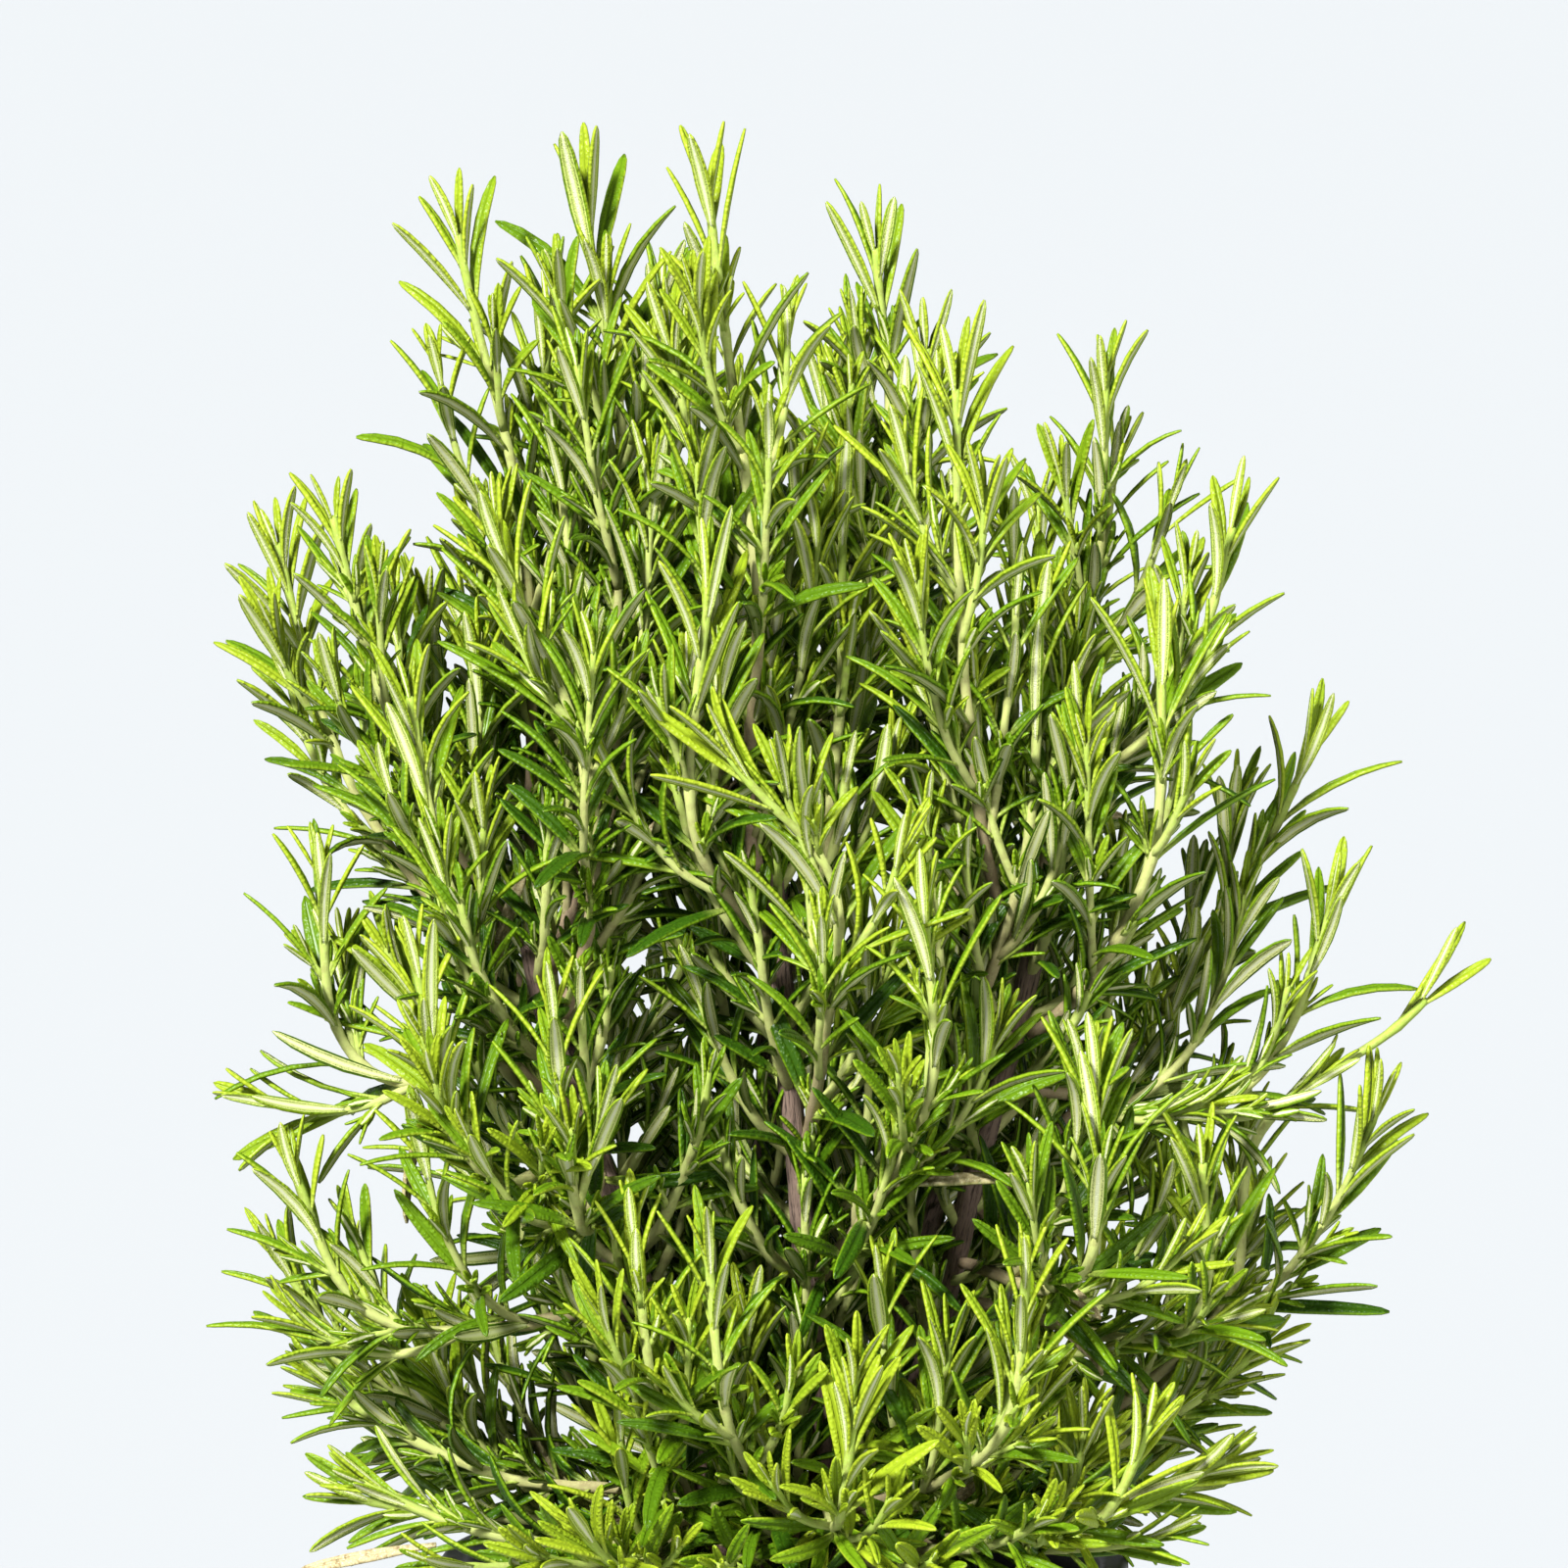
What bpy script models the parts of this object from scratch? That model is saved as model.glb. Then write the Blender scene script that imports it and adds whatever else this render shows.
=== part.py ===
"""Potted rosemary: a bushy, upright rosemary in a plain round nursery pot, standing on z = 0.

Every length is in millimetres until a mesh is made, and each separate piece is one object:
the pot, the potting soil, the woody stems that rise from the soil, and the soft leafy shoots.
"""

import math
import random
from dataclasses import dataclass
from itertools import product

import bmesh
import bpy
import numpy as np
from mathutils import Vector

MM = 0.001
UP = Vector((0, 0, 1))
GAP = 0.3  # left between two pieces that touch

# The pot: outer radii and heights of its turned wall.
POT_HEIGHT = 112
POT_BASE_RADIUS = 46
POT_TOP_RADIUS = 63
RIM_RADIUS = 67
RIM_HEIGHT = 11
WALL = 1.6
FLOOR = 2.4
STEP_HEIGHT = 16  # the lower band, where stacked pots meet, is a little narrower
STEP_DEPTH = 1.0
POT_SIDES = 48
DRAIN_HOLES = 6
DRAIN_RADIUS = 4.5
DRAIN_CIRCLE = 29
DRAIN_TURN = 0.58

# The soil: it stops short of the rim and is a little crowned.
SOIL_BELOW_RIM = 13
SOIL_CROWN = 4
ROOT_DEPTH = 26  # how far a woody stem goes down into the soil

# Woody stems: where each leaves the soil, and where it ends.
WOODY_STEMS = (
    ((-13, -12), (-48, -38, 236)),
    ((8, -16), (-2, -40, 252)),
    ((21, -2), (48, -30, 240)),
    ((13, 14), (50, 28, 252)),
    ((-7, 17), (0, 36, 272)),
    ((-22, 3), (-52, 22, 250)),
)
WOODY_FOOT_RADIUS = 3.3
WOODY_TOP_RADIUS = 1.9
WOODY_SIDES = 6
WOODY_STEP = 16  # between the rings of a woody stem
WOODY_UPRIGHT = 4  # it rises straight for this much above the soil
WOODY_BOW = 8  # its middle stands this far above the straight line to its top

# Soft shoots that make the outline seen from the front: the points each passes, lowest first, and its tip.
FRONT_SHOOTS = (
    ((-50, -6, 312), (-62, -10, 369)),
    ((-31, 6, 318), (-38, 4, 374)),
    ((-31, -26, 318), (-43, -30, 360)),
    ((-5, -46, 305), (-14, -46, 378)),
    ((20, 34, 325), (18, 38, 364)),
    ((34, -52, 285), (32, -52, 342)),
    ((60, 8, 300), (62, 8, 342)),
    ((52, -28, 258), (74, -24, 281), (85, -22, 314)),
    ((68, -44, 250), (71, -42, 292)),
    ((78, 6, 225), (101, 4, 268)),
    ((86, -18, 205), (105, -16, 242)),
    ((84, -2, 160), (92, -4, 196), (123, -8, 222)),
    ((-72, -8, 268), (-86, -10, 315)),
    ((-82, 12, 258), (-98, 14, 308)),
    ((-36, -54, 268), (-53, -54, 314)),
    ((-56, -60, 196), (-69, -58, 236)),
    ((-38, -66, 188), (-43, -72, 228)),
    ((-24, -70, 156), (-28, -76, 190)),
    ((-10, -72, 150), (-14, -80, 184)),
    ((8, -64, 226), (9, -68, 252), (-10, -74, 276)),
    ((-17, -60, 262), (-14, -62, 306)),
    ((10, -34, 275), (11, -38, 316)),
    ((56, -62, 178), (58, -66, 216)),
    ((76, -40, 164), (79, -46, 196)),
    ((40, -70, 148), (45, -78, 182)),
    ((46, -44, 258), (48, -44, 300)),
    ((27, -66, 212), (26, -72, 248)),
    ((-76, -34, 164), (-93, -38, 194)),
    ((-78, -6, 148), (-97, -10, 172)),
    ((10, -72, 132), (13, -84, 156)),
    ((-28, -70, 122), (-38, -84, 134)),
    ((58, -60, 130), (68, -68, 150)),
    ((-80, -28, 212), (-88, -32, 250)),
    ((-62, -44, 246), (-70, -46, 284)),
)

# Shoots behind those, in tiers: how many, distance from the axis, tip height, and the arc in degrees.
BACK_TIERS = (
    (5, 44, 342, 35, 160),
    (5, 76, 290, 20, 165),
    (4, 86, 215, 15, 165),
    (4, 84, 155, -15, 185),
)
TIER_JITTER = 5
TIER_LEAN = 0.72  # a tier shoot passes this share of its tip's distance from the axis
TIER_DROP = 42  # and this far below its tip
TIER_LOWEST = 126
TIER_SEED = 7

# How a shoot leaves its woody stem.
BASE_LOW = 113
BASE_STEP = 4
BASE_SPACING = 7  # between two shoots on one woody stem
LEAST_CLIMB, CLIMB_SLACK = 0.1, 10  # a shoot rises at least this share of its way across, less the slack
LIKED_CLIMB, CLIMB_COST = 0.9, 0.3  # the climb that suits a shoot, and what each millimetre off it costs
LEAST_LEAVING, MOST_LEAVING = math.radians(38), math.radians(78)  # a shoot's angle from its woody stem
LEAVING_TURNS = (0, 22, -22, 44, -44)  # degrees about the woody stem, tried in this order
SHOOT_FOOT_RADIUS = 1.5
SHOOT_TIP_RADIUS = 0.9
FOOT_STAND_OFF = 0.8  # of its radius, from the bark to the middle of a shoot's foot
TIP_RISE = 0.35  # how much a shoot's tip turns up
STEM_GAP = 0.8  # between two shoots' stems
POINT_STEP = 2.0  # between the points that a route is measured at

# Leaves: opposite pairs, each pair a quarter turn from the one below.
PAIR_SPACING = 12
BARE_SHARE = 0.2  # of a shoot's length, at its foot
LEAF_LONG = 25
LEAF_YOUNG = 12
LEAF_HALF_WIDTH = 1.7
LEAF_HALF_THICK = 0.6
LEAF_GAP = 0.5
LEAF_FOOT_HALF = 1.0  # half the height of a leaf's foot, along the stem
ANGLE_OLD = 58  # degrees between an old leaf and its stem
ANGLE_YOUNG = 16
LOWEST_LEAF = POT_HEIGHT + 3
LEAF_GROWTH = 2.2  # how fast a leaf grows to its full length with age
LEAF_AGED, LEAF_AGED_LOSS = 0.7, 5  # leaves older than this are shorter, by this much at the foot
LEAF_RECURVE = 10  # degrees that a leaf bends further out towards its tip
LEAF_STEPS = 8
LEAF_TRIES = 14
TRY_ANGLE, TRY_ANGLE_STEP = 4, 2  # degrees that each try may swing a leaf up or down
TRY_TURN = 3  # degrees that each try may turn it about the stem
TRY_SHORTER = 0.035  # share that each try shortens it by
LEAST_ANGLE = 12
LEAF_SEED = 11
BARE_STEP = 7  # points between rings of the bare foot
CORNER_SHARE = 1.2  # a square stem's corners stand this far out for each millimetre of radius
BUD_LENGTH = 2.5


@dataclass
class Finish:
    """A plain finish: colour, roughness and metallic value."""

    name: str
    colour: tuple
    roughness: float
    metallic: float = 0.0

    def material(self):
        made = bpy.data.materials.get(self.name)
        if made is None:
            made = bpy.data.materials.new(self.name)
            made.use_nodes = True
            shader = made.node_tree.nodes["Principled BSDF"]
            shader.inputs["Base Color"].default_value = (*self.colour, 1)
            shader.inputs["Roughness"].default_value = self.roughness
            shader.inputs["Metallic"].default_value = self.metallic
        return made


POT_FINISH = Finish("pot_plastic", (0.035, 0.036, 0.038), 0.5)
SOIL_FINISH = Finish("potting_soil", (0.06, 0.035, 0.022), 0.95)
BARK_FINISH = Finish("bark", (0.2, 0.13, 0.09), 0.85)
LEAF_FINISH = Finish("leafy_shoot", (0.16, 0.32, 0.06), 0.45)


def clear_scene():
    for ob in list(bpy.data.objects):
        bpy.data.objects.remove(ob, do_unlink=True)


def add_object(name, points, faces, finish):
    """One closed mesh, given in millimetres, as a named object."""
    mesh = bpy.data.meshes.new(name)
    mesh.from_pydata([Vector(p) * MM for p in points], [], faces)
    shape = bmesh.new()
    shape.from_mesh(mesh)
    bmesh.ops.recalc_face_normals(shape, faces=shape.faces)
    shape.to_mesh(mesh)
    shape.free()
    mesh.shade_smooth()
    mesh.set_sharp_from_angle(angle=math.radians(35))
    mesh.materials.append(finish.material())
    ob = bpy.data.objects.new(name, mesh)
    bpy.context.scene.collection.objects.link(ob)
    return ob


def turned(profile, sides):
    """Points and faces of a (radius, height) profile turned about the z axis, which it starts and ends on."""
    points, rings = [], []
    for radius, height in profile:
        count = sides if radius > 0 else 1
        rings.append(range(len(points), len(points) + count))
        turns = (math.tau * k / sides for k in range(count))
        points += [(radius * math.cos(t), radius * math.sin(t), height) for t in turns]
    faces = []
    for low, high in zip(rings, rings[1:]):
        for k in range(sides):
            after = (k + 1) % sides
            corners = [low[k % len(low)], low[after % len(low)], high[after % len(high)], high[k % len(high)]]
            faces.append(list(dict.fromkeys(corners)))
    return points, faces


def cutter(name, points, faces):
    ob = add_object(name, points, faces, SOIL_FINISH)
    ob.hide_render = True
    ob.display_type = "WIRE"
    return ob


def cut(ob, tools):
    for tool in tools:
        made = ob.modifiers.new(tool.name, "BOOLEAN")
        made.operation = "DIFFERENCE"
        made.solver = "EXACT"
        made.object = tool


def wall_radius(height):
    """Outer radius of the pot's plain wall at a height."""
    narrow = STEP_DEPTH if height < STEP_HEIGHT else 0
    share = height / POT_HEIGHT
    return POT_BASE_RADIUS + (POT_TOP_RADIUS - POT_BASE_RADIUS) * share - narrow


def make_pot():
    """A thin-walled pot: narrow lower band, plain wall, and a rim that stands out and turns down."""
    rim_foot = POT_HEIGHT - RIM_HEIGHT
    outside = [
        (0, 0),
        (wall_radius(0) - 1.5, 0),
        (wall_radius(1.5), 1.5),
        (wall_radius(STEP_HEIGHT - 1), STEP_HEIGHT - 1),
        (wall_radius(STEP_HEIGHT + 1), STEP_HEIGHT + 1),
        (wall_radius(rim_foot), rim_foot),
        (RIM_RADIUS - 1.2, rim_foot - 0.8),
        (RIM_RADIUS - 0.4, rim_foot),
        (RIM_RADIUS, POT_HEIGHT - 1),
        (RIM_RADIUS - 1, POT_HEIGHT),
    ]
    inside = [
        (POT_TOP_RADIUS - WALL + 1, POT_HEIGHT),
        (wall_radius(POT_HEIGHT - 1) - WALL, POT_HEIGHT - 1),
        (wall_radius(STEP_HEIGHT + 1) - WALL, STEP_HEIGHT + 1),
        (wall_radius(STEP_HEIGHT - 1) - WALL, STEP_HEIGHT - 1),
        (wall_radius(FLOOR) - WALL - 1, FLOOR),
        (0, FLOOR),
    ]
    pot = add_object("pot", *turned(outside + inside, POT_SIDES), POT_FINISH)
    cut(pot, [drain_cutter(k) for k in range(DRAIN_HOLES)])


def drain_cutter(number):
    points, faces = turned(((0, -3), (DRAIN_RADIUS, -3), (DRAIN_RADIUS, FLOOR + 3), (0, FLOOR + 3)), 16)
    turn = math.tau * number / DRAIN_HOLES + DRAIN_TURN
    moved = [(x + DRAIN_CIRCLE * math.cos(turn), y + DRAIN_CIRCLE * math.sin(turn), z) for x, y, z in points]
    return cutter(f"drain_cutter_{number + 1}", moved, faces)


def soil_height(x, y):
    """Height of the soil's crowned top."""
    share = math.hypot(x, y) / POT_TOP_RADIUS
    return POT_HEIGHT - SOIL_BELOW_RIM + SOIL_CROWN * (1 - min(1.0, share) ** 2)


def make_soil():
    """Soil that fills the pot from its floor to below the rim, with a bore for each woody stem."""
    edge = POT_HEIGHT - SOIL_BELOW_RIM
    inner = WALL + GAP
    top = [(r, soil_height(r, 0)) for r in (wall_radius(edge) - inner, 45, 30, 15, 0)]
    profile = [
        (0, FLOOR + GAP),
        (wall_radius(FLOOR) - inner - 1.2, FLOOR + GAP),
        (wall_radius(STEP_HEIGHT - 1) - inner, STEP_HEIGHT - 1),
        (wall_radius(STEP_HEIGHT + 1) - inner, STEP_HEIGHT + 1),
    ] + top
    soil = add_object("potting_soil", *turned(profile, POT_SIDES), SOIL_FINISH)
    cut(soil, [stem_bore(k, foot) for k, (foot, _) in enumerate(WOODY_STEMS)])


def stem_bore(number, foot):
    radius = WOODY_FOOT_RADIUS + 2 * GAP
    low = soil_height(*foot) - ROOT_DEPTH - GAP
    points, faces = turned(((0, low), (radius, low), (radius, POT_HEIGHT + 5), (0, POT_HEIGHT + 5)), 12)
    return cutter(f"stem_bore_{number + 1}", [(x + foot[0], y + foot[1], z) for x, y, z in points], faces)


def smooth_route(points, first, last):
    """A smooth curve through points, measured every POINT_STEP, that starts and ends in given directions."""
    tangents = [first] + [(b - a) / 2 for a, b in zip(points, points[2:])] + [last]
    curve = []
    for (a, b), (leave, arrive) in zip(zip(points, points[1:]), zip(tangents, tangents[1:])):
        span = (b - a).length
        leave, arrive = leave.normalized() * span, arrive.normalized() * span
        count = max(2, round(span / POINT_STEP))
        for k in range(count):
            t = k / count
            curve.append(
                a * (2 * t**3 - 3 * t**2 + 1)
                + leave * (t**3 - 2 * t**2 + t)
                + b * (3 * t**2 - 2 * t**3)
                + arrive * (t**3 - t**2)
            )
    return curve + [points[-1]]


def woody_route(foot, top):
    """From the bottom of its bore a woody stem rises straight, then leans over to its top."""
    root = Vector((*foot, soil_height(*foot) - ROOT_DEPTH))
    ground = Vector((*foot, soil_height(*foot) + WOODY_UPRIGHT))
    top = Vector(top)
    middle = ground.lerp(top, 0.5) + UP * WOODY_BOW
    arriving = UP + (top - middle).normalized()
    return smooth_route([root, ground], UP, UP)[:-1] + smooth_route([ground, middle, top], UP, arriving)


def taper(count, foot, tip):
    return [foot + (tip - foot) * k / (count - 1) for k in range(count)]


def frames(curve, start):
    """At each point of a curve: its direction and two sideways directions that turn as little as they can."""
    made, side = [], start
    for k in range(len(curve)):
        along = (curve[min(k + 1, len(curve) - 1)] - curve[max(k - 1, 0)]).normalized()
        side = (side - along * side.dot(along)).normalized()
        made.append((along, side, along.cross(side)))
    return made


class Space:
    """The room already taken, as balls along each stem and leaf, each with the name of what it belongs to."""

    def __init__(self):
        self.points = np.empty((0, 3))
        self.radii = np.empty(0)
        self.owners = np.empty(0, dtype="U20")

    def add(self, owner, points, radii):
        self.points = np.vstack([self.points, np.array([tuple(p) for p in points])])
        self.radii = np.append(self.radii, radii)
        self.owners = np.append(self.owners, [owner] * len(points))

    def is_clear(self, points, radii, gap, apart_from=""):
        """True where balls at these points stay the gap away from everything but one owner."""
        others = self.owners != apart_from
        mine = np.array([tuple(p) for p in points])
        between = np.linalg.norm(mine[:, None] - self.points[others][None], axis=2)
        return bool((between - np.asarray(radii)[:, None] - self.radii[others][None] > gap).all())


@dataclass
class Shoot:
    """A soft shoot's measured stem, from its foot at a woody stem to its tip."""

    name: str
    curve: list
    radii: list

    @property
    def length(self):
        return sum((b - a).length for a, b in zip(self.curve, self.curve[1:]))


def tier_shoots():
    """The shoots of the back, spread over each tier's arc."""
    chance = random.Random(TIER_SEED)
    for count, distance, height, first, last in BACK_TIERS:
        for k in range(count):
            turn = math.radians(first + (last - first) * (k + 0.5) / count)
            x, y, z = (chance.uniform(-TIER_JITTER, TIER_JITTER) for _ in range(3))
            tip = Vector((distance * math.cos(turn) + x, distance * math.sin(turn) + y, height + 2 * z))
            below = Vector((tip.x * TIER_LEAN, tip.y * TIER_LEAN, max(tip.z - TIER_DROP, TIER_LOWEST)))
            yield (below, tip)


def feet(passed, woody):
    """Where a shoot could leave a woody stem, best first: (cost, stem number, point number)."""
    found = []
    goal = passed[0]
    for number, curve in enumerate(woody):
        for k in range(0, len(curve) - 3, round(BASE_STEP / POINT_STEP)):
            reach = goal - curve[k]
            across = math.hypot(reach.x, reach.y)
            if curve[k].z >= BASE_LOW and reach.z > LEAST_CLIMB * across - CLIMB_SLACK:
                cost = across + CLIMB_COST * abs(reach.z - LIKED_CLIMB * across)
                found.append((cost, number, k))
    return sorted(found)


def shoot_route(passed, woody, number, k, turn):
    """The curve of a shoot that leaves one woody stem at one point, and passes the points it should."""
    axis = woody[number][k]
    along = (woody[number][k + 1] - axis).normalized()
    reach = passed[0] - axis
    angle = min(MOST_LEAVING, max(LEAST_LEAVING, along.angle(reach)))
    outward = (reach - along * reach.dot(along)).normalized()
    outward = outward * math.cos(turn) + along.cross(outward) * math.sin(turn)
    leaving = along * math.cos(angle) + outward * math.sin(angle)
    bark = WOODY_FOOT_RADIUS + (WOODY_TOP_RADIUS - WOODY_FOOT_RADIUS) * k / len(woody[number])
    foot = axis + outward * (bark + GAP + SHOOT_FOOT_RADIUS * FOOT_STAND_OFF)
    arriving = (passed[-1] - passed[-2]).normalized() + UP * TIP_RISE
    return smooth_route([foot, *passed], leaving, arriving)


def route_shoots(woody):
    """Every shoot's stem, each clear of the woody stems and of the stems before it."""
    space = Space()
    for curve in woody:
        space.add("woody", curve, taper(len(curve), WOODY_FOOT_RADIUS, WOODY_TOP_RADIUS))
    plans = [tuple(Vector(p) for p in plan) for plan in FRONT_SHOOTS] + list(tier_shoots())
    shoots, used = [], []
    for index, passed in enumerate(plans):
        name = f"shoot_{index + 1:02d}"
        for (_, number, k), turn in product(feet(passed, woody), LEAVING_TURNS):
            if any(n == number and abs(k - j) * POINT_STEP < BASE_SPACING for n, j in used):
                continue
            curve = shoot_route(passed, woody, number, k, math.radians(turn))
            radii = taper(len(curve), SHOOT_FOOT_RADIUS, SHOOT_TIP_RADIUS)
            if space.is_clear(curve[2:], radii[2:], STEM_GAP):
                used.append((number, k))
                space.add(name, curve, radii)
                shoots.append(Shoot(name, curve, radii))
                break
        else:
            raise RuntimeError(f"{name} has no clear way from a woody stem")
    return shoots, space


def leaf_axis(foot, outward, along, angle, length):
    """Points along a leaf, which bends a little further out towards its tip."""
    points, at = [foot], foot
    for k in range(LEAF_STEPS):
        bend = math.radians(angle + LEAF_RECURVE * k / LEAF_STEPS)
        at = at + (along * math.cos(bend) + outward * math.sin(bend)) * (length / LEAF_STEPS)
        points.append(at)
    return points


def leaf_radii(count):
    """Radii of the balls that a leaf takes up: slim at its foot, full towards its tip."""
    shares = (min(1, k / (count - 1) / 0.8) for k in range(count))
    return [LEAF_HALF_THICK + 1.3 * math.sin(math.pi / 2 * share) ** 0.5 for share in shares]


def place_leaf(shoot, foot, outward, along, age, space, chance):
    """A leaf that is clear of everything placed so far but its own stem, or None where none fits."""
    grown = min(1, age * LEAF_GROWTH)
    length = LEAF_YOUNG + (LEAF_LONG - LEAF_YOUNG) * grown - LEAF_AGED_LOSS * max(0, age - LEAF_AGED)
    angle = ANGLE_YOUNG + (ANGLE_OLD - ANGLE_YOUNG) * age
    sideways = along.cross(outward)
    for attempt in range(LEAF_TRIES):
        tried = angle + chance.uniform(-1, 1) * (TRY_ANGLE + TRY_ANGLE_STEP * attempt)
        size = length * (1 - TRY_SHORTER * attempt)
        turn = math.radians(chance.uniform(-1, 1) * TRY_TURN * attempt)
        facing = outward * math.cos(turn) + sideways * math.sin(turn)
        points = leaf_axis(foot, facing, along, max(LEAST_ANGLE, tried), size)
        if min(p.z for p in points) < LOWEST_LEAF:
            continue
        if space.is_clear(points[1:], leaf_radii(len(points))[1:], LEAF_GAP, shoot.name):
            return points, facing
    return None


def add_leaf(points, faces, foot_corners, axis, facing, along):
    """Adds a blade that starts from four corners on the stem, widens, and ends in a point."""
    middle, tip = axis[5], axis[-1]
    direction = (axis[6] - axis[4]).normalized()
    width = direction.cross(facing.cross(along)).cross(direction).normalized() * LEAF_HALF_WIDTH
    thick = width.cross(direction).normalized() * LEAF_HALF_THICK
    centre = sum((points[c] for c in foot_corners), Vector()) / 4
    ring = []
    for corner in foot_corners:
        offset = points[corner] - centre
        across = math.copysign(1, offset.dot(width))
        over = math.copysign(1, offset.dot(thick))
        ring.append(len(points))
        points.append(middle + width * across + thick * over)
    last = len(points)
    points.append(tip)
    for k in range(4):
        after = (k + 1) % 4
        faces.append([foot_corners[k], foot_corners[after], ring[after], ring[k]])
        faces.append([ring[k], ring[after], last])


def leaf_places(shoot):
    """Numbers of the curve points where a pair of leaves stands."""
    step = shoot.length / (len(shoot.curve) - 1)
    first = round(len(shoot.curve) * BARE_SHARE)
    last = len(shoot.curve) - 2
    pairs = max(3, round((last - first) * step / PAIR_SPACING))
    return [round(first + (last - first) * k / pairs) for k in range(pairs + 1)]


def make_shoot(shoot, space, chance):
    """A four-sided stem whose sides grow out into opposite leaves, as one closed mesh."""
    curve, radii = shoot.curve, shoot.radii
    turned_frames = frames(curve, Vector((1, 0.3, 0)))
    places = leaf_places(shoot)
    rings = [(k, 0.0, None) for k in range(0, places[0] - 3, BARE_STEP)]
    for pair, k in enumerate(places):
        rings += [(k, -LEAF_FOOT_HALF, pair), (k, LEAF_FOOT_HALF, pair)]
    points, faces, corners = [], [], []
    for k, offset, _ in rings:
        along, side, other = turned_frames[k]
        centre = curve[k] + along * offset
        corners.append(range(len(points), len(points) + 4))
        for turn in range(4):
            angle = math.pi / 4 + turn * math.pi / 2
            towards = side * math.cos(angle) + other * math.sin(angle)
            points.append(centre + towards * radii[k] * CORNER_SHARE)
    for low in range(len(rings) - 1):
        k, _, pair = rings[low]
        is_node = pair is not None and rings[low + 1][2] == pair
        along, side, other = turned_frames[k]
        for turn in range(4):
            after = (turn + 1) % 4
            quad = [corners[low][turn], corners[low][after], corners[low + 1][after], corners[low + 1][turn]]
            grown = None
            if is_node and turn % 2 == pair % 2:
                facing_angle = (turn + 1) * math.pi / 2
                outward = side * math.cos(facing_angle) + other * math.sin(facing_angle)
                foot = sum((points[c] for c in quad), Vector()) / 4
                age = 1 - (k - places[0]) / (places[-1] - places[0])
                grown = place_leaf(shoot, foot, outward, along, age, space, chance)
            if grown:
                axis, facing = grown
                add_leaf(points, faces, quad, axis, facing, along)
                space.add("leaf", axis[2:], leaf_radii(len(axis))[2:])
            else:
                faces.append(quad)
    tip = len(points)
    points.append(curve[-1] + turned_frames[-1][0] * BUD_LENGTH)
    for turn in range(4):
        faces.append([corners[-1][turn], corners[-1][(turn + 1) % 4], tip])
    faces.append(list(reversed(corners[0])))
    return add_object(shoot.name, points, faces, LEAF_FINISH)


def make_woody_stem(name, curve):
    """A tapered round stem, flat at the bottom of its bore."""
    count = max(2, round((len(curve) - 1) * POINT_STEP / WOODY_STEP))
    picks = [round((len(curve) - 1) * k / count) for k in range(count + 1)]
    radii = taper(len(curve), WOODY_FOOT_RADIUS, WOODY_TOP_RADIUS)
    turned_frames = frames(curve, Vector((1, 0, 0)))
    points = []
    for k in picks:
        _, side, other = turned_frames[k]
        for turn in range(WOODY_SIDES):
            angle = math.tau * turn / WOODY_SIDES
            points.append(curve[k] + (side * math.cos(angle) + other * math.sin(angle)) * radii[k])
    faces = []
    for low in range(len(picks) - 1):
        for turn in range(WOODY_SIDES):
            after = (turn + 1) % WOODY_SIDES
            a, b = low * WOODY_SIDES, (low + 1) * WOODY_SIDES
            faces.append([a + turn, a + after, b + after, b + turn])
    faces.append(list(reversed(range(WOODY_SIDES))))
    faces.append(list(range(len(points) - WOODY_SIDES, len(points))))
    return add_object(name, points, faces, BARK_FINISH)


def main():
    clear_scene()
    make_pot()
    make_soil()
    woody = [woody_route(foot, top) for foot, top in WOODY_STEMS]
    for number, curve in enumerate(woody):
        make_woody_stem(f"woody_stem_{number + 1}", curve)
    shoots, space = route_shoots(woody)
    chance = random.Random(LEAF_SEED)
    for shoot in shoots:
        make_shoot(shoot, space, chance)


main()
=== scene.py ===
"""Looks of the potted rosemary: needle leaves, soft and woody stems, crumbly soil and a plain nursery pot.

Lengths are in millimetres until a mesh is made. The stems follow the same rule and the same driving
sizes as the solids they stand for, so every sprig lies where its solid lies.
"""

import logging
import math
import random
from dataclasses import dataclass, field
from enum import Enum
from itertools import product

import bpy
import numpy as np
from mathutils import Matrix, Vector, noise


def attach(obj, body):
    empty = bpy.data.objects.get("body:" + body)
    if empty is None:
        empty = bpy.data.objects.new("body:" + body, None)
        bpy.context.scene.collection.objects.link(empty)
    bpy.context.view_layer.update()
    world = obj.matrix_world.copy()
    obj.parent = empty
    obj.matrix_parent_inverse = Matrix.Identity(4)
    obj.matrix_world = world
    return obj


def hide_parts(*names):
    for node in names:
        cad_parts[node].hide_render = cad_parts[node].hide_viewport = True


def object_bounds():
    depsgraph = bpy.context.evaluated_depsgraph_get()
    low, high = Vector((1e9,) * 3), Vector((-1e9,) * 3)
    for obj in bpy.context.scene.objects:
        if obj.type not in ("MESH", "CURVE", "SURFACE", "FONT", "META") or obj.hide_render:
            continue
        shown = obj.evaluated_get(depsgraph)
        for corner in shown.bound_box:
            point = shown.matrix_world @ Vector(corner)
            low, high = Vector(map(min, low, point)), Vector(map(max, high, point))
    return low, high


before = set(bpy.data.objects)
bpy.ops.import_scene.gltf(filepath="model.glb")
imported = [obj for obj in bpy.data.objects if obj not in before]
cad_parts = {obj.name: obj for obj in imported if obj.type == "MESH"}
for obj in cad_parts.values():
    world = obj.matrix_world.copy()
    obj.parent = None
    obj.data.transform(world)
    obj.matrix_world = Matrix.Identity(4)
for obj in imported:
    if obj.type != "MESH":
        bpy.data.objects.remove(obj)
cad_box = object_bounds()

log = logging.getLogger("rosemary")

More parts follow.
